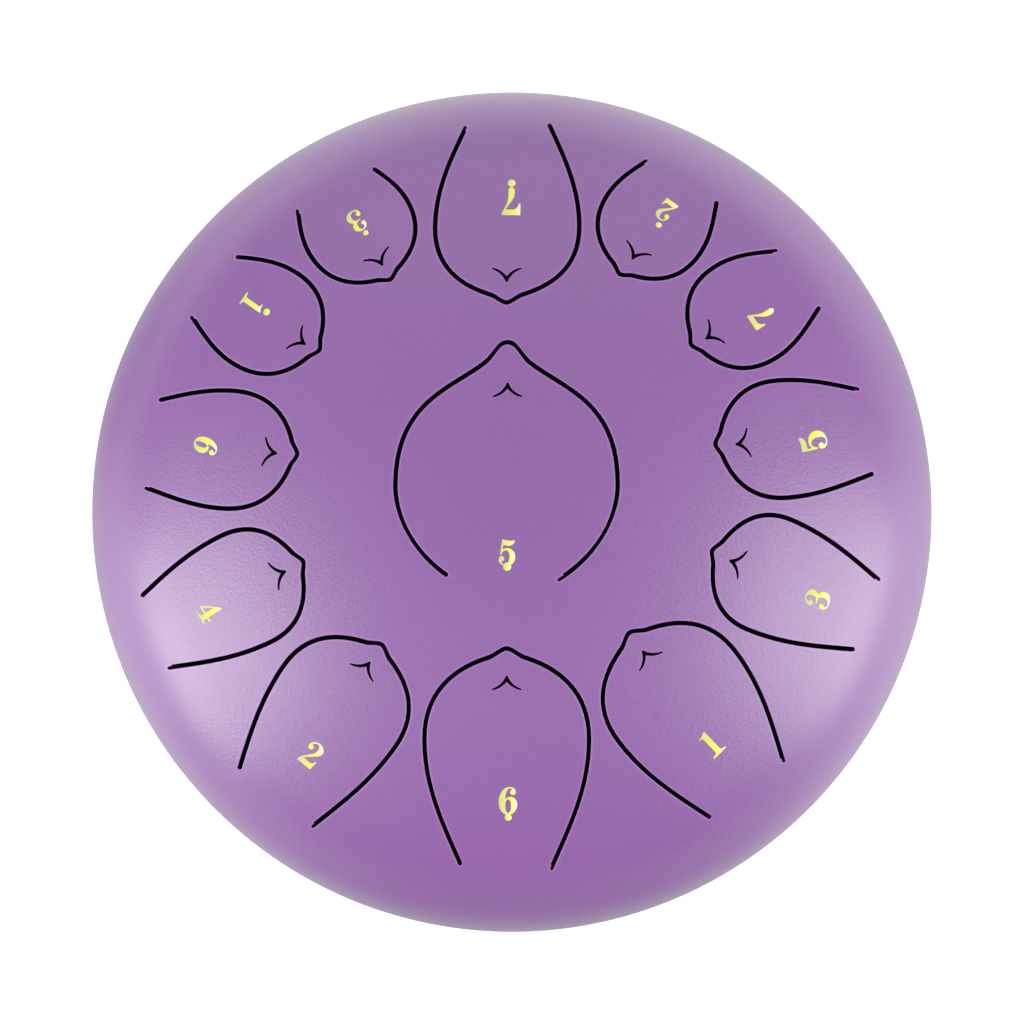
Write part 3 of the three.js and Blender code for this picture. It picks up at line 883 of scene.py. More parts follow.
digits = {
    "1": {
        "ink": [[
            [(-2.2, 5.35), (-1.2, 5.4), (-0.2, 5.75), (0.75, 6.3)], [(1.3, 6.3)], [(1.15, -2.4)],
            [(1.35, -3.1), (1.95, -3.45), (2.85, -3.6)], [(2.85, -4.25)], [(-2.95, -4.25)], [(-2.95, -3.6)],
            [(-2.0, -3.45), (-1.2, -3.15), (-0.95, -2.4)], [(-0.9, 4.2)],
            [(-1.05, 4.65), (-1.5, 4.8), (-2.2, 4.8)],
        ]],
    },
    "2": {
        "ink": [[
            [
                (-3.28, 2.5), (-2.95, 3.95), (-1.9, 5.1), (-0.35, 5.5), (1.3, 5.05), (2.35, 3.9),
                (2.55, 2.7), (2.0, 1.35), (0.75, 0.05), (-0.6, -1.25), (-1.95, -2.75),
            ],
            [(1.1, -2.85)], [(1.8, -2.5), (2.2, -1.85), (2.35, -1.1)], [(2.85, -1.05)], [(2.55, -4.95)],
            [(-3.35, -4.95)], [(-3.35, -4.2)],
            [
                (-2.9, -3.1), (-1.55, -1.15), (-0.3, 0.5), (0.3, 1.6), (0.5, 2.75), (0.35, 3.8),
                (-0.15, 4.6), (-0.95, 4.85), (-1.75, 4.45), (-2.2, 3.7), (-2.25, 3.3),
            ],
        ]],
        "balls": [(-2.25, 2.35, 1.02)],
    },
    "3": {
        "ink": [[
            [
                (-3.15, 2.5), (-2.85, 3.8), (-1.8, 4.9), (-0.3, 5.25), (1.3, 4.85), (2.45, 3.75),
                (2.7, 2.5), (2.3, 1.2), (1.5, 0.3),
            ],
            [
                (2.35, -0.3), (3.0, -1.3), (3.15, -2.6), (2.7, -3.95), (1.4, -4.95), (-0.35, -5.25),
                (-1.95, -4.95), (-3.0, -3.95), (-3.3, -2.6),
            ],
            [(-2.2, -3.4)],
            [
                (-1.95, -4.1), (-1.2, -4.6), (-0.2, -4.45), (0.65, -3.7), (0.98, -2.5), (0.85, -1.2),
                (0.3, -0.4), (-0.5, -0.12), (-1.85, -0.2),
            ],
            [(-1.85, 0.38)],
            [
                (-0.7, 0.45), (0.2, 0.95), (0.6, 2.2), (0.5, 3.5), (0.05, 4.45), (-0.65, 4.75),
                (-1.4, 4.35), (-1.75, 3.6), (-1.9, 3.2),
            ],
        ]],
        "balls": [(-2.2, 2.3, 0.98), (-2.3, -2.45, 1.0)],
    },
    "4": {
        "ink": [[
            [(1.35, 5.0), (1.95, 5.05)], [(1.8, -1.2)], [(3.2, -1.1)], [(3.2, -2.0)], [(1.8, -2.0)],
            [(1.8, -2.9)], [(1.95, -3.4), (2.75, -3.65)], [(2.75, -4.3)], [(-1.95, -4.3)], [(-1.95, -3.7)],
            [(-0.5, -3.45), (-0.15, -2.9)], [(-0.15, -2.0)], [(-3.2, -2.0)], [(-3.2, -1.4)],
        ]],
        "gaps": [[[(-2.3, -1.2), (-0.1, -1.2)], [(-0.1, 2.15)]]],
    },
    "5": {
        "ink": [[
            [(-2.85, 5.15), (-1.4, 4.95), (0.6, 4.98), (2.4, 5.45)],
            [(2.4, 4.6), (1.9, 3.6), (0.9, 2.9), (-0.6, 2.68), (-2.1, 2.8)], [(-2.15, 0.85)],
            [
                (-1.3, 1.45), (0.1, 1.75), (1.8, 1.3), (3.1, 0.1), (3.65, -1.7), (3.4, -3.6), (2.4, -5.0),
                (0.9, -5.75), (-0.8, -5.8), (-2.2, -5.3), (-3.05, -4.3), (-3.15, -3.1),
            ],
            [(-1.9, -4.2)],
            [
                (-1.5, -4.95), (-0.6, -5.35), (0.35, -5.05), (1.0, -4.0), (1.2, -2.5), (1.0, -0.8),
                (0.4, 0.25), (-0.5, 0.68), (-1.4, 0.4), (-2.0, -0.3), (-2.25, -1.4),
            ],
            [(-2.9, -1.4)],
        ]],
        "balls": [(-2.0, -3.1, 1.15)],
    },
    "6": {
        "ink": [[
            [
                (2.93, 4.25), (2.55, 5.4), (1.6, 6.05), (0.6, 6.15), (-0.8, 5.75), (-2.1, 4.4), (-3.0, 2.2),
                (-3.2, -0.1), (-2.85, -2.2), (-1.8, -3.95), (-0.7, -4.65), (0.25, -4.78), (1.4, -4.5),
                (2.7, -3.3), (3.45, -1.1), (3.15, 0.8), (2.2, 1.95), (1.0, 2.35), (0.05, 2.1), (-0.8, 1.3),
            ],
            [(-0.75, 2.8), (-0.35, 4.3), (0.25, 5.35), (0.95, 5.7), (1.55, 5.35), (1.6, 5.0)],
        ]],
        "balls": [(1.9, 4.1, 1.05)],
        "gaps": [[[
            (0.17, 1.45), (-0.5, 0.8), (-0.8, -1.3), (-0.5, -3.4), (0.17, -4.05), (0.85, -3.4),
            (1.14, -1.3), (0.85, 0.8), (0.17, 1.45),
        ]]],
    },
    "7": {
        "ink": [[
            [(-3.2, 6.65), (3.4, 6.65)],
            [
                (3.4, 5.8), (2.8, 4.5), (2.0, 2.9), (1.4, 1.1), (1.15, -0.8), (1.15, -2.6), (0.95, -3.9),
                (0.1, -4.6), (-0.75, -4.0), (-1.1, -2.8), (-0.95, -1.1), (-0.25, 0.7), (0.9, 2.5),
                (2.05, 4.4),
            ],
            [(0.6, 4.42), (-1.0, 4.3), (-2.0, 3.6), (-2.45, 2.7), (-2.6, 2.05)], [(-3.2, 2.05)],
        ]],
    },
}
# Where each number lies on its tongue, in millimetres from the root, its turn, its size, and its dot
numbers = {
    "low_5": {"along": 9.1, "across": -0.2, "turn": -8, "size": 0.82, "dot": (0.8, -6.1, 1.75)},
    "low_6": {"along": 23.6, "across": -0.3, "turn": 0, "size": 0.98, "dot": (0.2, -5.8, 1.3)},
    "low_7": {"along": 27.7, "across": 1.7, "turn": -1, "size": 0.99, "dot": (0.1, -6.1, 1.4)},
    "1": {"along": 20.7, "across": 0.2, "turn": 8, "size": 0.99},
    "2": {"along": 20.4, "across": -2.3, "turn": -5, "size": 0.99},
    "3": {"along": 19.0, "across": 1.4, "turn": 4, "size": 0.96},
    "4": {"along": 21.4, "across": -1.8, "turn": 7, "size": 0.99},
    "5": {"along": 20.1, "across": 2.2, "turn": 9, "size": 0.97},
    "6": {"along": 19.3, "across": 0.8, "turn": -15, "size": 0.88},
    "7": {"along": 17.4, "across": 4.8, "turn": 2, "size": 0.93},
    "high_1": {"along": 15.2, "across": 1.7, "turn": -3, "size": 0.85, "dot": (-0.6, 8.7, 1.5)},
    "high_2": {"along": 12.0, "across": 1.1, "turn": -4, "size": 0.85, "dot": (-1.8, 7.8, 1.3)},
    "high_3": {"along": 14.2, "across": 0.6, "turn": 3, "size": 0.84, "dot": (-0.5, 7.0, 1.2)},
}
foilSheet = {
    "rise": 0.06 * mm,
    "sink": 0.04 * mm,
    "curveSteps": 4,
    "ballSteps": 28,
    "dotReach": 1.02,    # what lies within this many radii of a dot's middle belongs to it
}


# Smooth curve through points, spaced by their distances
def smoothCurve(points):
    points = np.array(points, float)
    if len(points) == 2:
        return points
    gaps = np.linalg.norm(np.diff(points, axis=0), axis=1)[:, None]
    speeds = np.diff(points, axis=0) / gaps
    inner = (speeds[:-1] * gaps[1:] + speeds[1:] * gaps[:-1]) / (gaps[:-1] + gaps[1:])
    first = 1.5 * speeds[0] - 0.5 * inner[0]
    last = 1.5 * speeds[-1] - 0.5 * inner[-1]
    pulls = np.vstack([first, inner, last])
    curve = [points[:1]]
    for i, gap in enumerate(gaps[:, 0]):
        a, d = points[i], points[i + 1]
        b, c = a + pulls[i] * gap / 3, d - pulls[i + 1] * gap / 3
        curve.append(bezier(a, b, c, d, foilSheet["curveSteps"])[1:])
    return np.vstack(curve)


def contourPoints(contour):
    points = [contour[0][0]]
    for i, stretch in enumerate(contour):
        part = stretch if i == 0 else [tuple(points[-1]), *stretch]
        points += [tuple(p) for p in smoothCurve(part)[1:]]
    if math.dist(points[0], points[-1]) < 1e-6:
        points.pop()
    return points


def ballPoints(x, y, radius):
    turns = np.arange(foilSheet["ballSteps"]) * 2 * math.pi / foilSheet["ballSteps"]
    return [(x + radius * math.cos(t), y + radius * math.sin(t)) for t in turns]


# Triangles of a number: whatever lies in its ink and in none of its gaps
def inkTriangles(number, shape):
    outlines = [contourPoints(c) for c in shape["ink"]] + [ballPoints(*b) for b in shape.get("balls", [])]
    if "dot" in number:
        outlines.append(ballPoints(*number["dot"]))
    inkCount = len(outlines)
    outlines += [contourPoints(c) for c in shape.get("gaps", [])]
    coords = [Vector(p) for outline in outlines for p in outline]
    faces = []
    for outline in outlines:
        start = sum(len(face) for face in faces)
        faces.append(leftTurned(coords, list(range(start, start + len(outline)))))
    found = delaunay_2d_cdt(coords, [], faces, 0, 1e-5, True)
    inked = [face for face, owners in zip(found[2], found[5]) if owners and max(owners) < inkCount]
    return np.array([tuple(p) for p in found[0]]), inked


# Where a number lies in plan, and its directions to the right and up
def numberFrame(tongue, number):
    middle = tongue["root"] + tongue["along"] * number["along"] * mm
    middle = middle + tongue["across"] * number["across"] * mm
    flat = Vector((middle.x, middle.y, 0))
    normal = flat / dome["crownRadius"]
    normal.z = math.sqrt(1 - normal.length_squared)
    up = (tongue["along"] - normal * tongue["along"].dot(normal)).normalized()
    right = up.cross(normal)
    turn = math.radians(number["turn"])
    level = right * math.cos(turn) + up * math.sin(turn)
    upright = up * math.cos(turn) - right * math.sin(turn)
    return [np.array(v)[:2] for v in (flat, level, upright)]


# Shares of the way from the left end to the right end
def shareAcross(values):
    return (values - values.min()) / (values.max() - values.min())


def makeNumber(tongue):
    note = tongue["note"]
    number = numbers[note]
    size = number["size"] * mm
    coords, inked = inkTriangles(number, digits[note.split("_")[-1]])
    middle, level, upright = numberFrame(tongue, number)
    plan = middle + coords[:, :1] * size * level + coords[:, 1:] * size * upright
    sheet = FlatSheet()
    over = sheet.add(plan, -foilSheet["rise"], 1)
    under = sheet.add(plan, foilSheet["sink"], -1)
    faces = [[over[i] for i in face] for face in inked] + [[under[i] for i in face[::-1]] for face in inked]
    edges = {(a, b) for face in inked for a, b in zip(face, face[1:] + face[:1])}
    faces += [[under[a], under[b], over[b], over[a]] for a, b in edges if (b, a) not in edges]
    piece = sheet.piece("foil_" + note, faces, [False] * len(faces), foil, foil)
    corners = np.array([v.co[:2] for v in piece.data.vertices])
    # Painted reflection: the share runs left to right across the drum's plan, not along the number's own
    # frame
    reflectionShares = shareAcross(corners[:, 0])
    if "dot" in number:
        x, y, radius = np.array(number["dot"]) * size
        fromDot = np.linalg.norm(corners - (middle + level * x + upright * y), axis=1)
        inDot = fromDot < foilSheet["dotReach"] * radius
        for part in (inDot, ~inDot):
            reflectionShares[part] = shareAcross(corners[part, 0])
    storeValues(piece.data, "foilTone", "FLOAT", "POINT", reflectionShares)
    bendWith(piece)


for tongue in tongues:
    makeNumber(tongue)
print("numbers laid on:", len(numbers))


# Turned pieces below the dome. Profiles are lists of corners: radius, height and rounding, in millimetres.

# Low end, high end and half width of a CAD solid, in millimetres
def sizesOf(node):
    low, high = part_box(node)
    return low.z / mm, high.z / mm, (high.x - low.x) / 2 / mm


# Points along the corners' outline with their roundings, clockwise with the axis on the left
def roundedProfile(corners):
    places = [Vector(corner[:2]) for corner in corners]
    points = []
    for i, (*_, rounding) in enumerate(corners):
        if rounding == 0:
            points.append(places[i])
            continue
        before = (places[i - 1] - places[i]).normalized()
        after = (places[(i + 1) % len(places)] - places[i]).normalized()
        half = before.angle(after) / 2
        centre = places[i] + (before + after).normalized() * rounding / math.sin(half)
        first = (places[i] + before * rounding / math.tan(half) - centre).normalized()
        last = (places[i] + after * rounding / math.tan(half) - centre).normalized()
        steps = (math.pi - 2 * half) * math.sqrt(rounding) * turning["fineness"]
        steps = max(turning["leastSteps"], round(steps))
        points += [centre + first.slerp(last, k / steps) * rounding for k in range(steps + 1)]
    area = sum(a.x * b.y - a.y * b.x for a, b in zip(points, points[1:] + points[:1]))
    return points[::-1] if area > 0 else points


turning = {
    "pivot": 10 * mm,            # radius of the circle that profiles are swept along
    "merge": 0.0005 * mm,
    "fineness": 3.5,             # steps of a rounding of 1 mm, per radian
    "leastSteps": 3,
    "sharp": math.radians(38),   # steeper edges stay sharp
}


def profileObject(name, corners, closed=True):
    points = roundedProfile(corners)
    count = len(points)
    edges = [(i, (i + 1) % count) for i in range(count if closed else count - 1)]
    return meshObject(name, [(p.x * mm - turning["pivot"], -p.y * mm, 0) for p in points], [], edges)


def turnNodes(tree, profile, segments):
    line = addNode(tree, "GeometryNodeMeshToCurve", profile)[0]
    named = {"Resolution": segments, "Radius": turning["pivot"]}
    circle = addNode(tree, "GeometryNodeCurvePrimitiveCircle", named=named)[0]
    turned = addNode(tree, "GeometryNodeCurveToMesh", named={"Curve": circle, "Profile Curve": line})[0]
    named = {"Geometry": turned, "Distance": turning["merge"]}
    return addNode(tree, "GeometryNodeMergeByDistance", named=named)[0]


# The ring that the feet and their fasteners stand on, taken from the first foot and keyed by tree inputs
firstFoot = sum(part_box("foot_1"), Vector()) / 2
footRing = {
    "Copies": 4,
    "RingRadius": math.hypot(firstFoot.x, firstFoot.y),
    "FirstTurn": math.atan2(firstFoot.y, firstFoot.x),
    "Twist": 0.9,                # each copy is turned on from the one before, in radians
}
ringInputs = {"Copies": "Int", "RingRadius": "Float", "FirstTurn": "Float", "Twist": "Float"}


# Copies of a piece on a ring round the drum's axis
def ringNodes(tree, piece, given):
    index = addNode(tree, "GeometryNodeInputIndex")[0]
    step = calc(tree, "DIVIDE", 2 * math.pi, given["Copies"])
    turn = calc(tree, "ADD", product(tree, index, step), given["FirstTurn"])
    x, y = (product(tree, calc(tree, side, turn), given["RingRadius"]) for side in ("COSINE", "SINE"))
    named = {"Count": given["Copies"], "Position": combined(tree, x, y, 0.0)}
    points = addNode(tree, "GeometryNodePoints", named=named)[0]
    twist = combined(tree, 0.0, 0.0, product(tree, index, given["Twist"]))
    named = {"Points": points, "Instance": piece, "Rotation": twist}
    copied = addNode(tree, "GeometryNodeInstanceOnPoints", named=named)[0]
    return addNode(tree, "GeometryNodeRealizeInstances", copied)[0]


# Takes a cutter away from a shape, or keeps what lies in both
def cutNodes(tree, shape, cutter, operation):
    cutting = addNode(tree, "GeometryNodeMeshBoolean", operation=operation)[0].node
    tree.links.new(shape, cutting.inputs["Mesh 1" if operation == "DIFFERENCE" else "Mesh 2"])
    tree.links.new(cutter, cutting.inputs["Mesh 2"])
    return cutting.outputs[0]


def finishTurned(piece, slot, *nodes):
    piece.data.polygons.foreach_set("use_smooth", [True] * len(piece.data.polygons))
    piece.data.set_sharp_from_angle(angle=turning["sharp"])
    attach(piece, "shell")
    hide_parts(*nodes)


base = {
    "soundHole": 37.5,
    "bend": 60,                    # outside radius of the bend from the floor to the wall
    "seam": 0.5,                   # gap under the top's skirt
    "lipGap": 0.3,                 # between the lip and the inside of the skirt
    "segments": 384,
    "boltHole": 2.3 * mm,
    "drillSides": 32,
    "drillDepth": 60 * mm,
    "middle": 80 * mm,             # height of the chamber's middle
    "insideFacing": -50 * mm,      # faces that look at the middle from farther off are inside and take the painted shade
}


# Pressed bowl with a flat rim round the sound hole, and a lip that steps in and up inside the skirt
def baseCorners():
    sheet = dome["sheet"] / mm
    floor, lipTop, outside = sizesOf("bottom_shell")
    seam = topLow.z / mm - base["seam"]
    wall = outside - sheet
    lipOut = wall - base["lipGap"]
    lipIn = lipOut - sheet
    return [
        (base["soundHole"], floor, 0.6), (outside, floor, base["bend"]), (outside, seam, 0.5),
        (lipOut, seam, 0.15), (lipOut, lipTop, 0.3), (lipIn, lipTop, 0.3), (lipIn, seam - sheet, 0.2),
        (wall, seam - sheet, 0.2), (wall, floor + sheet, base["bend"] - sheet),
        (base["soundHole"], floor + sheet, 0.6),
    ]


def makeBaseTree():
    tree, given = newTree(
        "turnBase", Segments="Int", **ringInputs, BoltHole="Float", InsideFacing="Float",
        Paint="Material", Inside="Material",
    )
    turned = turnNodes(tree, given["Geometry"], given["Segments"])
    named = {"Vertices": base["drillSides"], "Radius": given["BoltHole"], "Depth": base["drillDepth"]}
    drill = addNode(tree, "GeometryNodeMeshCylinder", named=named)[0]
    drilled = cutNodes(tree, turned, ringNodes(tree, drill, given), "DIFFERENCE")
    position = addNode(tree, "GeometryNodeInputPosition")[0]
    normal = addNode(tree, "GeometryNodeInputNormal")[0]
    fromMiddle = calcVector(tree, "SUBTRACT", position, (0, 0, base["middle"]))
    facing = calcVector(tree, "DOT_PRODUCT", fromMiddle, normal)
    # Inside faces take the painted shade
    hidden = calc(tree, "LESS_THAN", facing, given["InsideFacing"])
    closeTree(tree, drilled, (given["Paint"], None), (given["Inside"], hidden))
    return tree


basePiece = bakeTree(
    profileObject("pressed_base", baseCorners()), makeBaseTree(), Segments=base["segments"],
    BoltHole=base["boltHole"], InsideFacing=base["insideFacing"], Paint=paint, Inside=shadePaint, **footRing,
)
finishTurned(basePiece, "purple_paint", "bottom_shell")


bead = {
    "segments": 512,
    "wave": 0.7,           # the hand-run edge wanders by this share of the bead's width
    "waveScale": 60.0,     # per metre
}


def makeBeadTree():
    tree, given = newTree("runBead", Segments="Int", Outside="Float", Wave="Float", Paint="Material")
    turned = turnNodes(tree, given["Geometry"], given["Segments"])
    position = addNode(tree, "GeometryNodeInputPosition")[0]
    flat = calcVector(tree, "MULTIPLY", position, (1, 1, 0))
    reach = calc(tree, "SUBTRACT", given["Outside"], calcVector(tree, "LENGTH", flat))
    wander = calc(tree, "SUBTRACT", noise(tree, position, bead["waveScale"], detail=2.0), 0.5)
    push = product(tree, wander, given["Wave"], reach)
    shift = scaled(tree, calcVector(tree, "NORMALIZE", flat), push)
    moved = addNode(tree, "GeometryNodeSetPosition", named={"Geometry": turned, "Offset": shift})[0]
    closeTree(tree, moved, (given["Paint"], None))
    return tree


beadLow, beadHigh, beadRadius = sizesOf("rim_bead")
beadCorners = [
    (beadRadius + beadLow - beadHigh, beadLow, 0.3),
    (beadRadius, beadHigh, 0.3),
    (beadRadius, beadLow, 0.15),
]
beadPiece = bakeTree(
    profileObject("epoxy_bead", beadCorners), makeBeadTree(), Segments=bead["segments"],
    Outside=beadRadius * mm, Wave=bead["wave"], Paint=epoxy,
)
finishTurned(beadPiece, "grey_epoxy", "rim_bead")


# Feet and fasteners

foot = {
    "bore": 2.3,
    "pocket": 6.5,             # radius of the pocket for the screw's head
    "groove": [(8.9, 0, 0.2), (9.1, 0.6, 0.15), (9.7, 0.6, 0.15), (9.9, 0, 0.2)],
    "tread": 11.5,
    "waist": [(12.55, 8.4, 0.3), (12.1, 8.9, 0.25), (12.15, 9.7, 0.25), (12.75, 10.2, 0.3)],
    "segments": 72,
}
screw = {
    "crown": 2.4,              # radius of the flat of the head
    "cheek": 0.7,              # from that flat to where the head is widest
    "shank": 2,
    "neck": 1.4,               # plain length under the head
    "pitch": 0.7,
    "threadDepth": 0.3,
    "tip": (0.25, 0.4),        # chamfer at the end, in and up
    "segments": 40,
    "recess": {"reach": 2.1, "arm": 0.5, "depth": 1.4, "margin": 0.2, "taper": 0.62},
}
footWasher = {"bore": 2.2, "rounds": (0.1, 0.25, 0.1, 0.1), "segments": 56}
nutWasher = {"bore": 2.2, "rounds": (0.1, 0.1, 0.22, 0.1), "segments": 56}
nut = {
    "thread": 2.05,
    "bevel": 0.35,             # at both ends of the thread
    "face": 3.45,              # radius of the flat end faces
    "chamfer": (0.85, 0.49),   # out and up from there
    "segments": 72,
    "margin": 0.2,             # the hexagon stands this far past both ends
}


# From the bore over the pocket, the grooved tread and the waist to the flange under the base
def footCorners():
    low, high, flange = sizesOf("foot_1")
    seat = sizesOf("foot_washer_1")[1]
    bore, pocket = foot["bore"], foot["pocket"]
    inner = [(bore, seat, 0.2), (pocket, seat, 0.3), (pocket, low, 0.7)]
    outer = [(foot["tread"], low, 1.5), *foot["waist"], (flange, high, 0.6), (bore, high, 0.2)]
    return inner + foot["groove"] + outer


# Half outline of the screw, from the middle of its head along the thread rings to its tip
def screwCorners():
    low, high, head = sizesOf("foot_screw_1")
    seat = sizesOf("foot_washer_1")[0]
    shank, pitch = screw["shank"], screw["pitch"]
    core = shank - screw["threadDepth"]
    tipIn, tipUp = screw["tip"]
    thread = seat + screw["neck"]
    corners = [(0, low, 0), (screw["crown"], low, 1.2), (head, low + screw["cheek"], 0.8)]
    corners += [(head, seat, 0.25), (shank, seat, 0.2), (shank, thread, 0.05)]
    for k in range(int((high - tipUp - thread) / pitch)):
        corners += [(core, thread + (k + 0.5) * pitch, 0), (shank, thread + (k + 1) * pitch, 0)]
    return corners + [(core, high - tipUp, 0.05), (core - tipIn, high, 0.1), (0, high, 0)]


def washerCorners(node, washer):
    low, high, radius = sizesOf(node)
    places = [(washer["bore"], low), (radius, low), (radius, high), (washer["bore"], high)]
    return [(*place, rounding) for place, rounding in zip(places, washer["rounds"])]


def nutCorners():
    low, high, _ = sizesOf("nut_1")
    thread, bevel, face = nut["thread"], nut["bevel"], nut["face"]
    out, up = nut["chamfer"]
    lower = [(thread, low + bevel, 0), (thread + bevel, low, 0), (face, low, 0), (face + out, low + up, 0)]
    return lower + [(radius, low + high - height, 0) for radius, height, _ in lower[::-1]]


# Upright prism on an outline in millimetres, drawn in by a share at its top
def prism(name, outline, low, high, taper=1.0):
    count = len(outline)
    points = [(x, y, low) for x, y in outline] + [(x * taper, y * taper, high) for x, y in outline]
    points = [(x * mm, y * mm, z * mm) for x, y, z in points]
    faces = [[i, (i + 1) % count, (i + 1) % count + count, i + count] for i in range(count)]
    return meshObject(name, points, faces + [list(range(count))[::-1], list(range(count, 2 * count))])


def crossPrism():
    recess = screw["recess"]
    head = sizesOf("foot_screw_1")[0]
    reach, arm = recess["reach"], recess["arm"]
    quarter = [(reach, -arm), (reach, arm), (arm, arm)]
    turns = [(1, 0), (0, 1), (-1, 0), (0, -1)]
    outline = [(x * c - y * s, x * s + y * c) for c, s in turns for x, y in quarter]
    return prism("crossCutter", outline, head - recess["margin"], head + recess["depth"], recess["taper"])


def hexPrism():
    low, high, halfFlats = sizesOf("nut_1")
    radius = 2 * halfFlats / math.sqrt(3)
    turns = [math.radians(60 * k) for k in range(6)]
    outline = [(radius * math.cos(t), radius * math.sin(t)) for t in turns]
    return prism("hexCutter", outline, low - nut["margin"], high + nut["margin"])


# Turned piece, cut by a second shape or kept only inside it, then copied round the ring
def makeFittingTree(name, operation):
    tree, given = newTree(name, Segments="Int", **ringInputs, Cutter="Object", Paint="Material")
    made = turnNodes(tree, given["Geometry"], given["Segments"])
    if operation:
        cutter = addNode(tree, "GeometryNodeObjectInfo", given["Cutter"])["Geometry"]
        made = cutNodes(tree, made, cutter, operation)
    closeTree(tree, ringNodes(tree, made, given), (given["Paint"], None))
    return tree


plainFitting = makeFittingTree("turnFitting", None)
recessedFitting = makeFittingTree("turnRecessed", "DIFFERENCE")
hexFitting = makeFittingTree("turnHexagon", "INTERSECT")


def makeFitting(name, node, slot, material, segments, corners, tree=plainFitting, cutter=None):
    touchesAxis = corners[0][0] == 0
    piece = profileObject(name, corners, closed=not touchesAxis)
    bakeTree(piece, tree, Segments=segments, Cutter=cutter, Paint=material, **footRing)
    if cutter:
        bpy.data.objects.remove(cutter)
    finishTurned(piece, slot, *[node + "_%d" % (k + 1) for k in range(footRing["Copies"])])


makeFitting("rubber_feet", "foot", "black_rubber", rubber, foot["segments"], footCorners())
makeFitting(
    "foot_screws", "foot_screw", "zinc_steel", zinc, screw["segments"], screwCorners(),
    recessedFitting, crossPrism(),
)
makeFitting(
    "foot_washers", "foot_washer", "zinc_steel", zinc, footWasher["segments"],
    washerCorners("foot_washer_1", footWasher),
)
# The fasteners inside the drum take the darker zinc as painted shade
makeFitting(
    "nut_washers", "nut_washer", "zinc_steel", dullZinc, nutWasher["segments"],
    washerCorners("nut_washer_1", nutWasher),
)
makeFitting(
    "foot_nuts", "nut", "zinc_steel", dullZinc, nut["segments"], nutCorners(), hexFitting, hexPrism(),
)
print("base, bead, feet and fasteners turned")


# Stage, lights and camera, in metres

stage = {
    "floorSize": 12.0,
    "floorTone": (0.35, 0.86),       # painted shade: darker in front of the drum than behind it
    "toneFade": (-0.35, -0.1),       # the tone changes between these
    "floorRoughness": 0.9,
    "floorSpecular": 0.1,
    "glow": 0.75,                    # keeps the floor white to the camera
    "shade": (0.08, 0.16),           # radii that the floor lightens between
    "underDrum": 0.1,                # share of light that is left under the drum
    "hole": (0.04, 0.05),            # radii of the painted shade spot below the sound hole
    "shadePatchPlace": (-0.35, 0.13, 0),   # painted shade: a darker patch of floor behind the drum on its left
    "shadePatchReach": 0.26,
    "shadePatchTone": 0.4,
    "bounce": 0.55,                  # share of the glow that the paint mirrors
    "bounceBack": (0.05, 0.5),       # it starts and is full this far behind the drum,
    "bounceTurn": (0.3, 0.65),       # where this share of the way is backwards,
    "bounceSides": (0.15, 0.4),      # and this far out on both sides,
    "bounceEnd": (0.0, 0.2),         # until this share of the way is backwards
    "ambient": (0.33, 0.6),          # from the front and from the back of the room
    "boxColour": (1.0, 1.1, 0.93),
    "boxAim": (0, 0, 0.1),
    "lens": 158.5,
    "sensor": 36,
    "eye": (0.04 * mm, 0.07 * mm, 1.7245),
}
# Soft boxes: where they stand as seen from the drum, width and height in metres, and watts
softBoxes = [
    {"azimuth": -18, "elevation": 24, "distance": 1.7, "size": (1.05, 1.6), "power": 16.5},
    {"azimuth": 203, "elevation": 24, "distance": 1.7, "size": (1.0, 1.6), "power": 18},
    {"azimuth": 90, "elevation": 32, "distance": 2.0, "size": (2.4, 1.6), "power": 3},
    {"azimuth": -90, "elevation": 62, "distance": 2.2, "size": (1.6, 0.6), "power": 1},
]
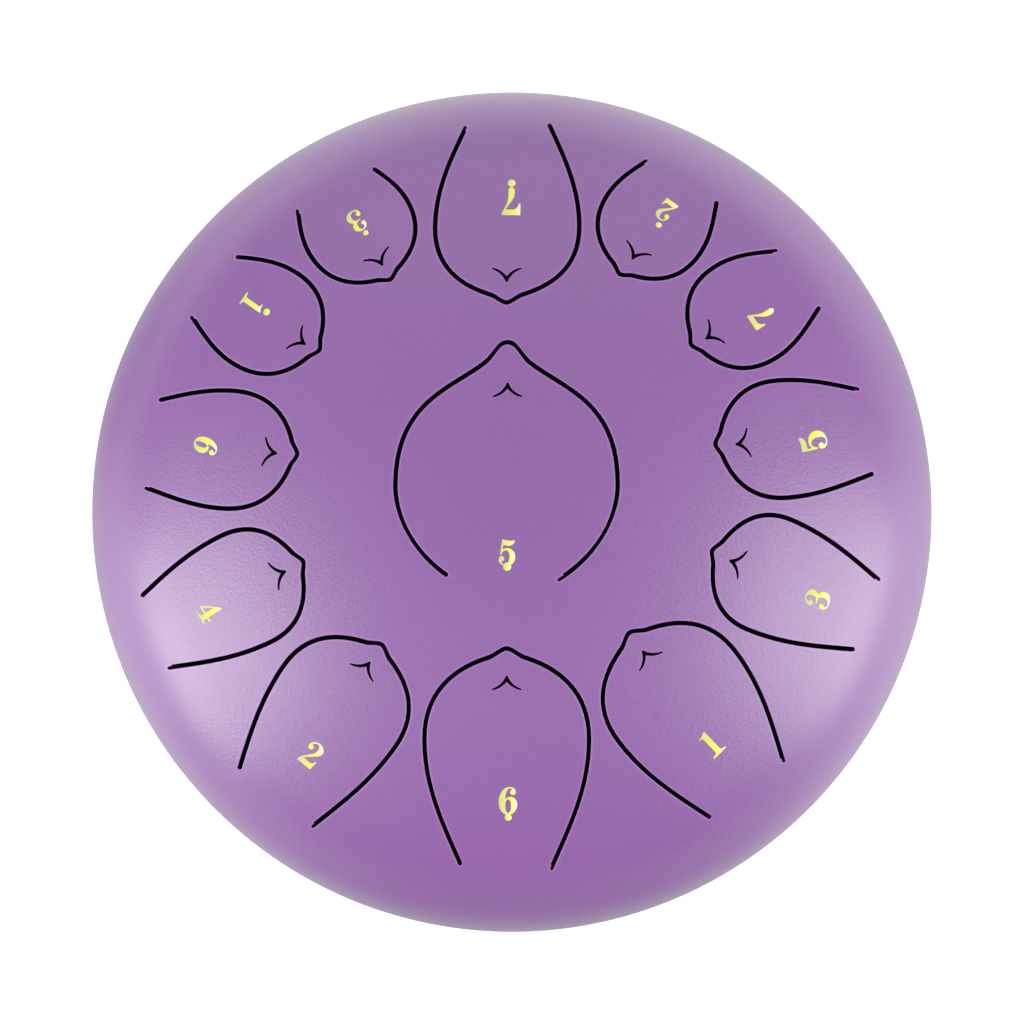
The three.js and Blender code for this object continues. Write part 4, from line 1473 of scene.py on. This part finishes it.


# The floor is white to the camera, mirrored in part by the paint, and clear from below; its colour and glow
# are darkened under the drum as a painted shadow
def makeFloor():
    material, tree, place = newMaterial("floorWhite")
    fromDrum = calcVector(tree, "LENGTH", place)
    x, y = addNode(tree, "ShaderNodeSeparateXYZ", place)[:2]
    backwards = calc(tree, "DIVIDE", y, fromDrum)
    # Painted shadow under the drum, black below the sound hole
    fade = ranged(tree, fromDrum, *stage["shade"], stage["underDrum"])
    shade = product(tree, fade, ranged(tree, fromDrum, *stage["hole"]))
    tone = ranged(tree, y, *stage["toneFade"], *stage["floorTone"])
    # Painted shade patch on the floor behind the drum on its left
    fromShadePatch = calcVector(tree, "DISTANCE", place, stage["shadePatchPlace"])
    tone = product(tree, tone, ranged(tree, fromShadePatch, 0.0, stage["shadePatchReach"], stage["shadePatchTone"]), shade)
    behind = ranged(tree, y, *stage["bounceBack"])
    behind = product(tree, behind, ranged(tree, backwards, *stage["bounceTurn"]))
    beside = ranged(tree, calc(tree, "ABSOLUTE", x), *stage["bounceSides"])
    beside = product(tree, beside, ranged(tree, backwards, *stage["bounceEnd"], 1.0, 0.0))
    rays = addNode(tree, "ShaderNodeLightPath")
    mirrored = product(tree, rays["Is Glossy Ray"], calc(tree, "ADD", behind, beside), stage["bounce"])
    seen = calc(tree, "MAXIMUM", rays["Is Camera Ray"], mirrored)
    white = setShader(tree, {
        "Base Color": addNode(tree, "ShaderNodeCombineColor", tone, tone, tone)[0],
        "Roughness": stage["floorRoughness"],
        "Specular IOR Level": stage["floorSpecular"],
        "Emission Color": (1, 1, 1, 1),
        "Emission Strength": product(tree, seen, shade, stage["glow"]),
    })
    below = addNode(tree, "ShaderNodeNewGeometry")["Backfacing"]
    clear = addNode(tree, "ShaderNodeBsdfTransparent")[0]
    oneSided = addNode(tree, "ShaderNodeMixShader", below, white, clear)[0]
    tree.links.new(oneSided, tree.nodes["Material Output"].inputs["Surface"])
    half = stage["floorSize"] / 2
    corners = [(-half, -half, 0), (half, -half, 0), (half, half, 0), (-half, half, 0)]
    floor = meshObject("floor", corners, [[0, 1, 2, 3]])
    floor.data.materials.append(material)


def makeWorld():
    world = bpy.data.worlds.new("studio")
    world.use_nodes = True
    tree = world.node_tree
    back = tree.nodes["Background"]
    rays = addNode(tree, "ShaderNodeLightPath")["Is Camera Ray"]
    direction = addNode(tree, "ShaderNodeTexCoord")["Generated"]
    backwards = addNode(tree, "ShaderNodeSeparateXYZ", direction)["Y"]
    room = ranged(tree, backwards, -1.0, 1.0, *stage["ambient"])
    feed(tree, back.inputs["Strength"], spread(tree, rays, room, 1.0))
    feed(tree, back.inputs["Color"], (1, 1, 1, 1))
    bpy.context.scene.world = world


def makeBox(box):
    light = bpy.data.lights.new("softBox", "AREA")
    light.shape = "RECTANGLE"
    light.size, light.size_y = box["size"]
    light.energy = box["power"]
    light.color = stage["boxColour"]
    turn, rise = math.radians(box["azimuth"]), math.radians(box["elevation"])
    away = Vector((math.cos(turn) * math.cos(rise), math.sin(turn) * math.cos(rise), math.sin(rise)))
    lamp = bpy.data.objects.new("softBox", light)
    lamp.location = away * box["distance"] + Vector(stage["boxAim"])
    lamp.rotation_euler = away.to_track_quat("Z", "Y").to_euler()
    lamp.visible_camera = False
    bpy.context.scene.collection.objects.link(lamp)


def makeCamera():
    camera = bpy.data.cameras.new("camera")
    camera.lens = stage["lens"]
    camera.sensor_width = stage["sensor"]
    eye = bpy.data.objects.new("camera", camera)
    eye.location = stage["eye"]
    bpy.context.scene.collection.objects.link(eye)
    bpy.context.scene.camera = eye


makeFloor()
makeWorld()
for box in softBoxes:
    makeBox(box)
makeCamera()
bpy.context.scene.view_settings.view_transform = "Standard"
print("stage set")
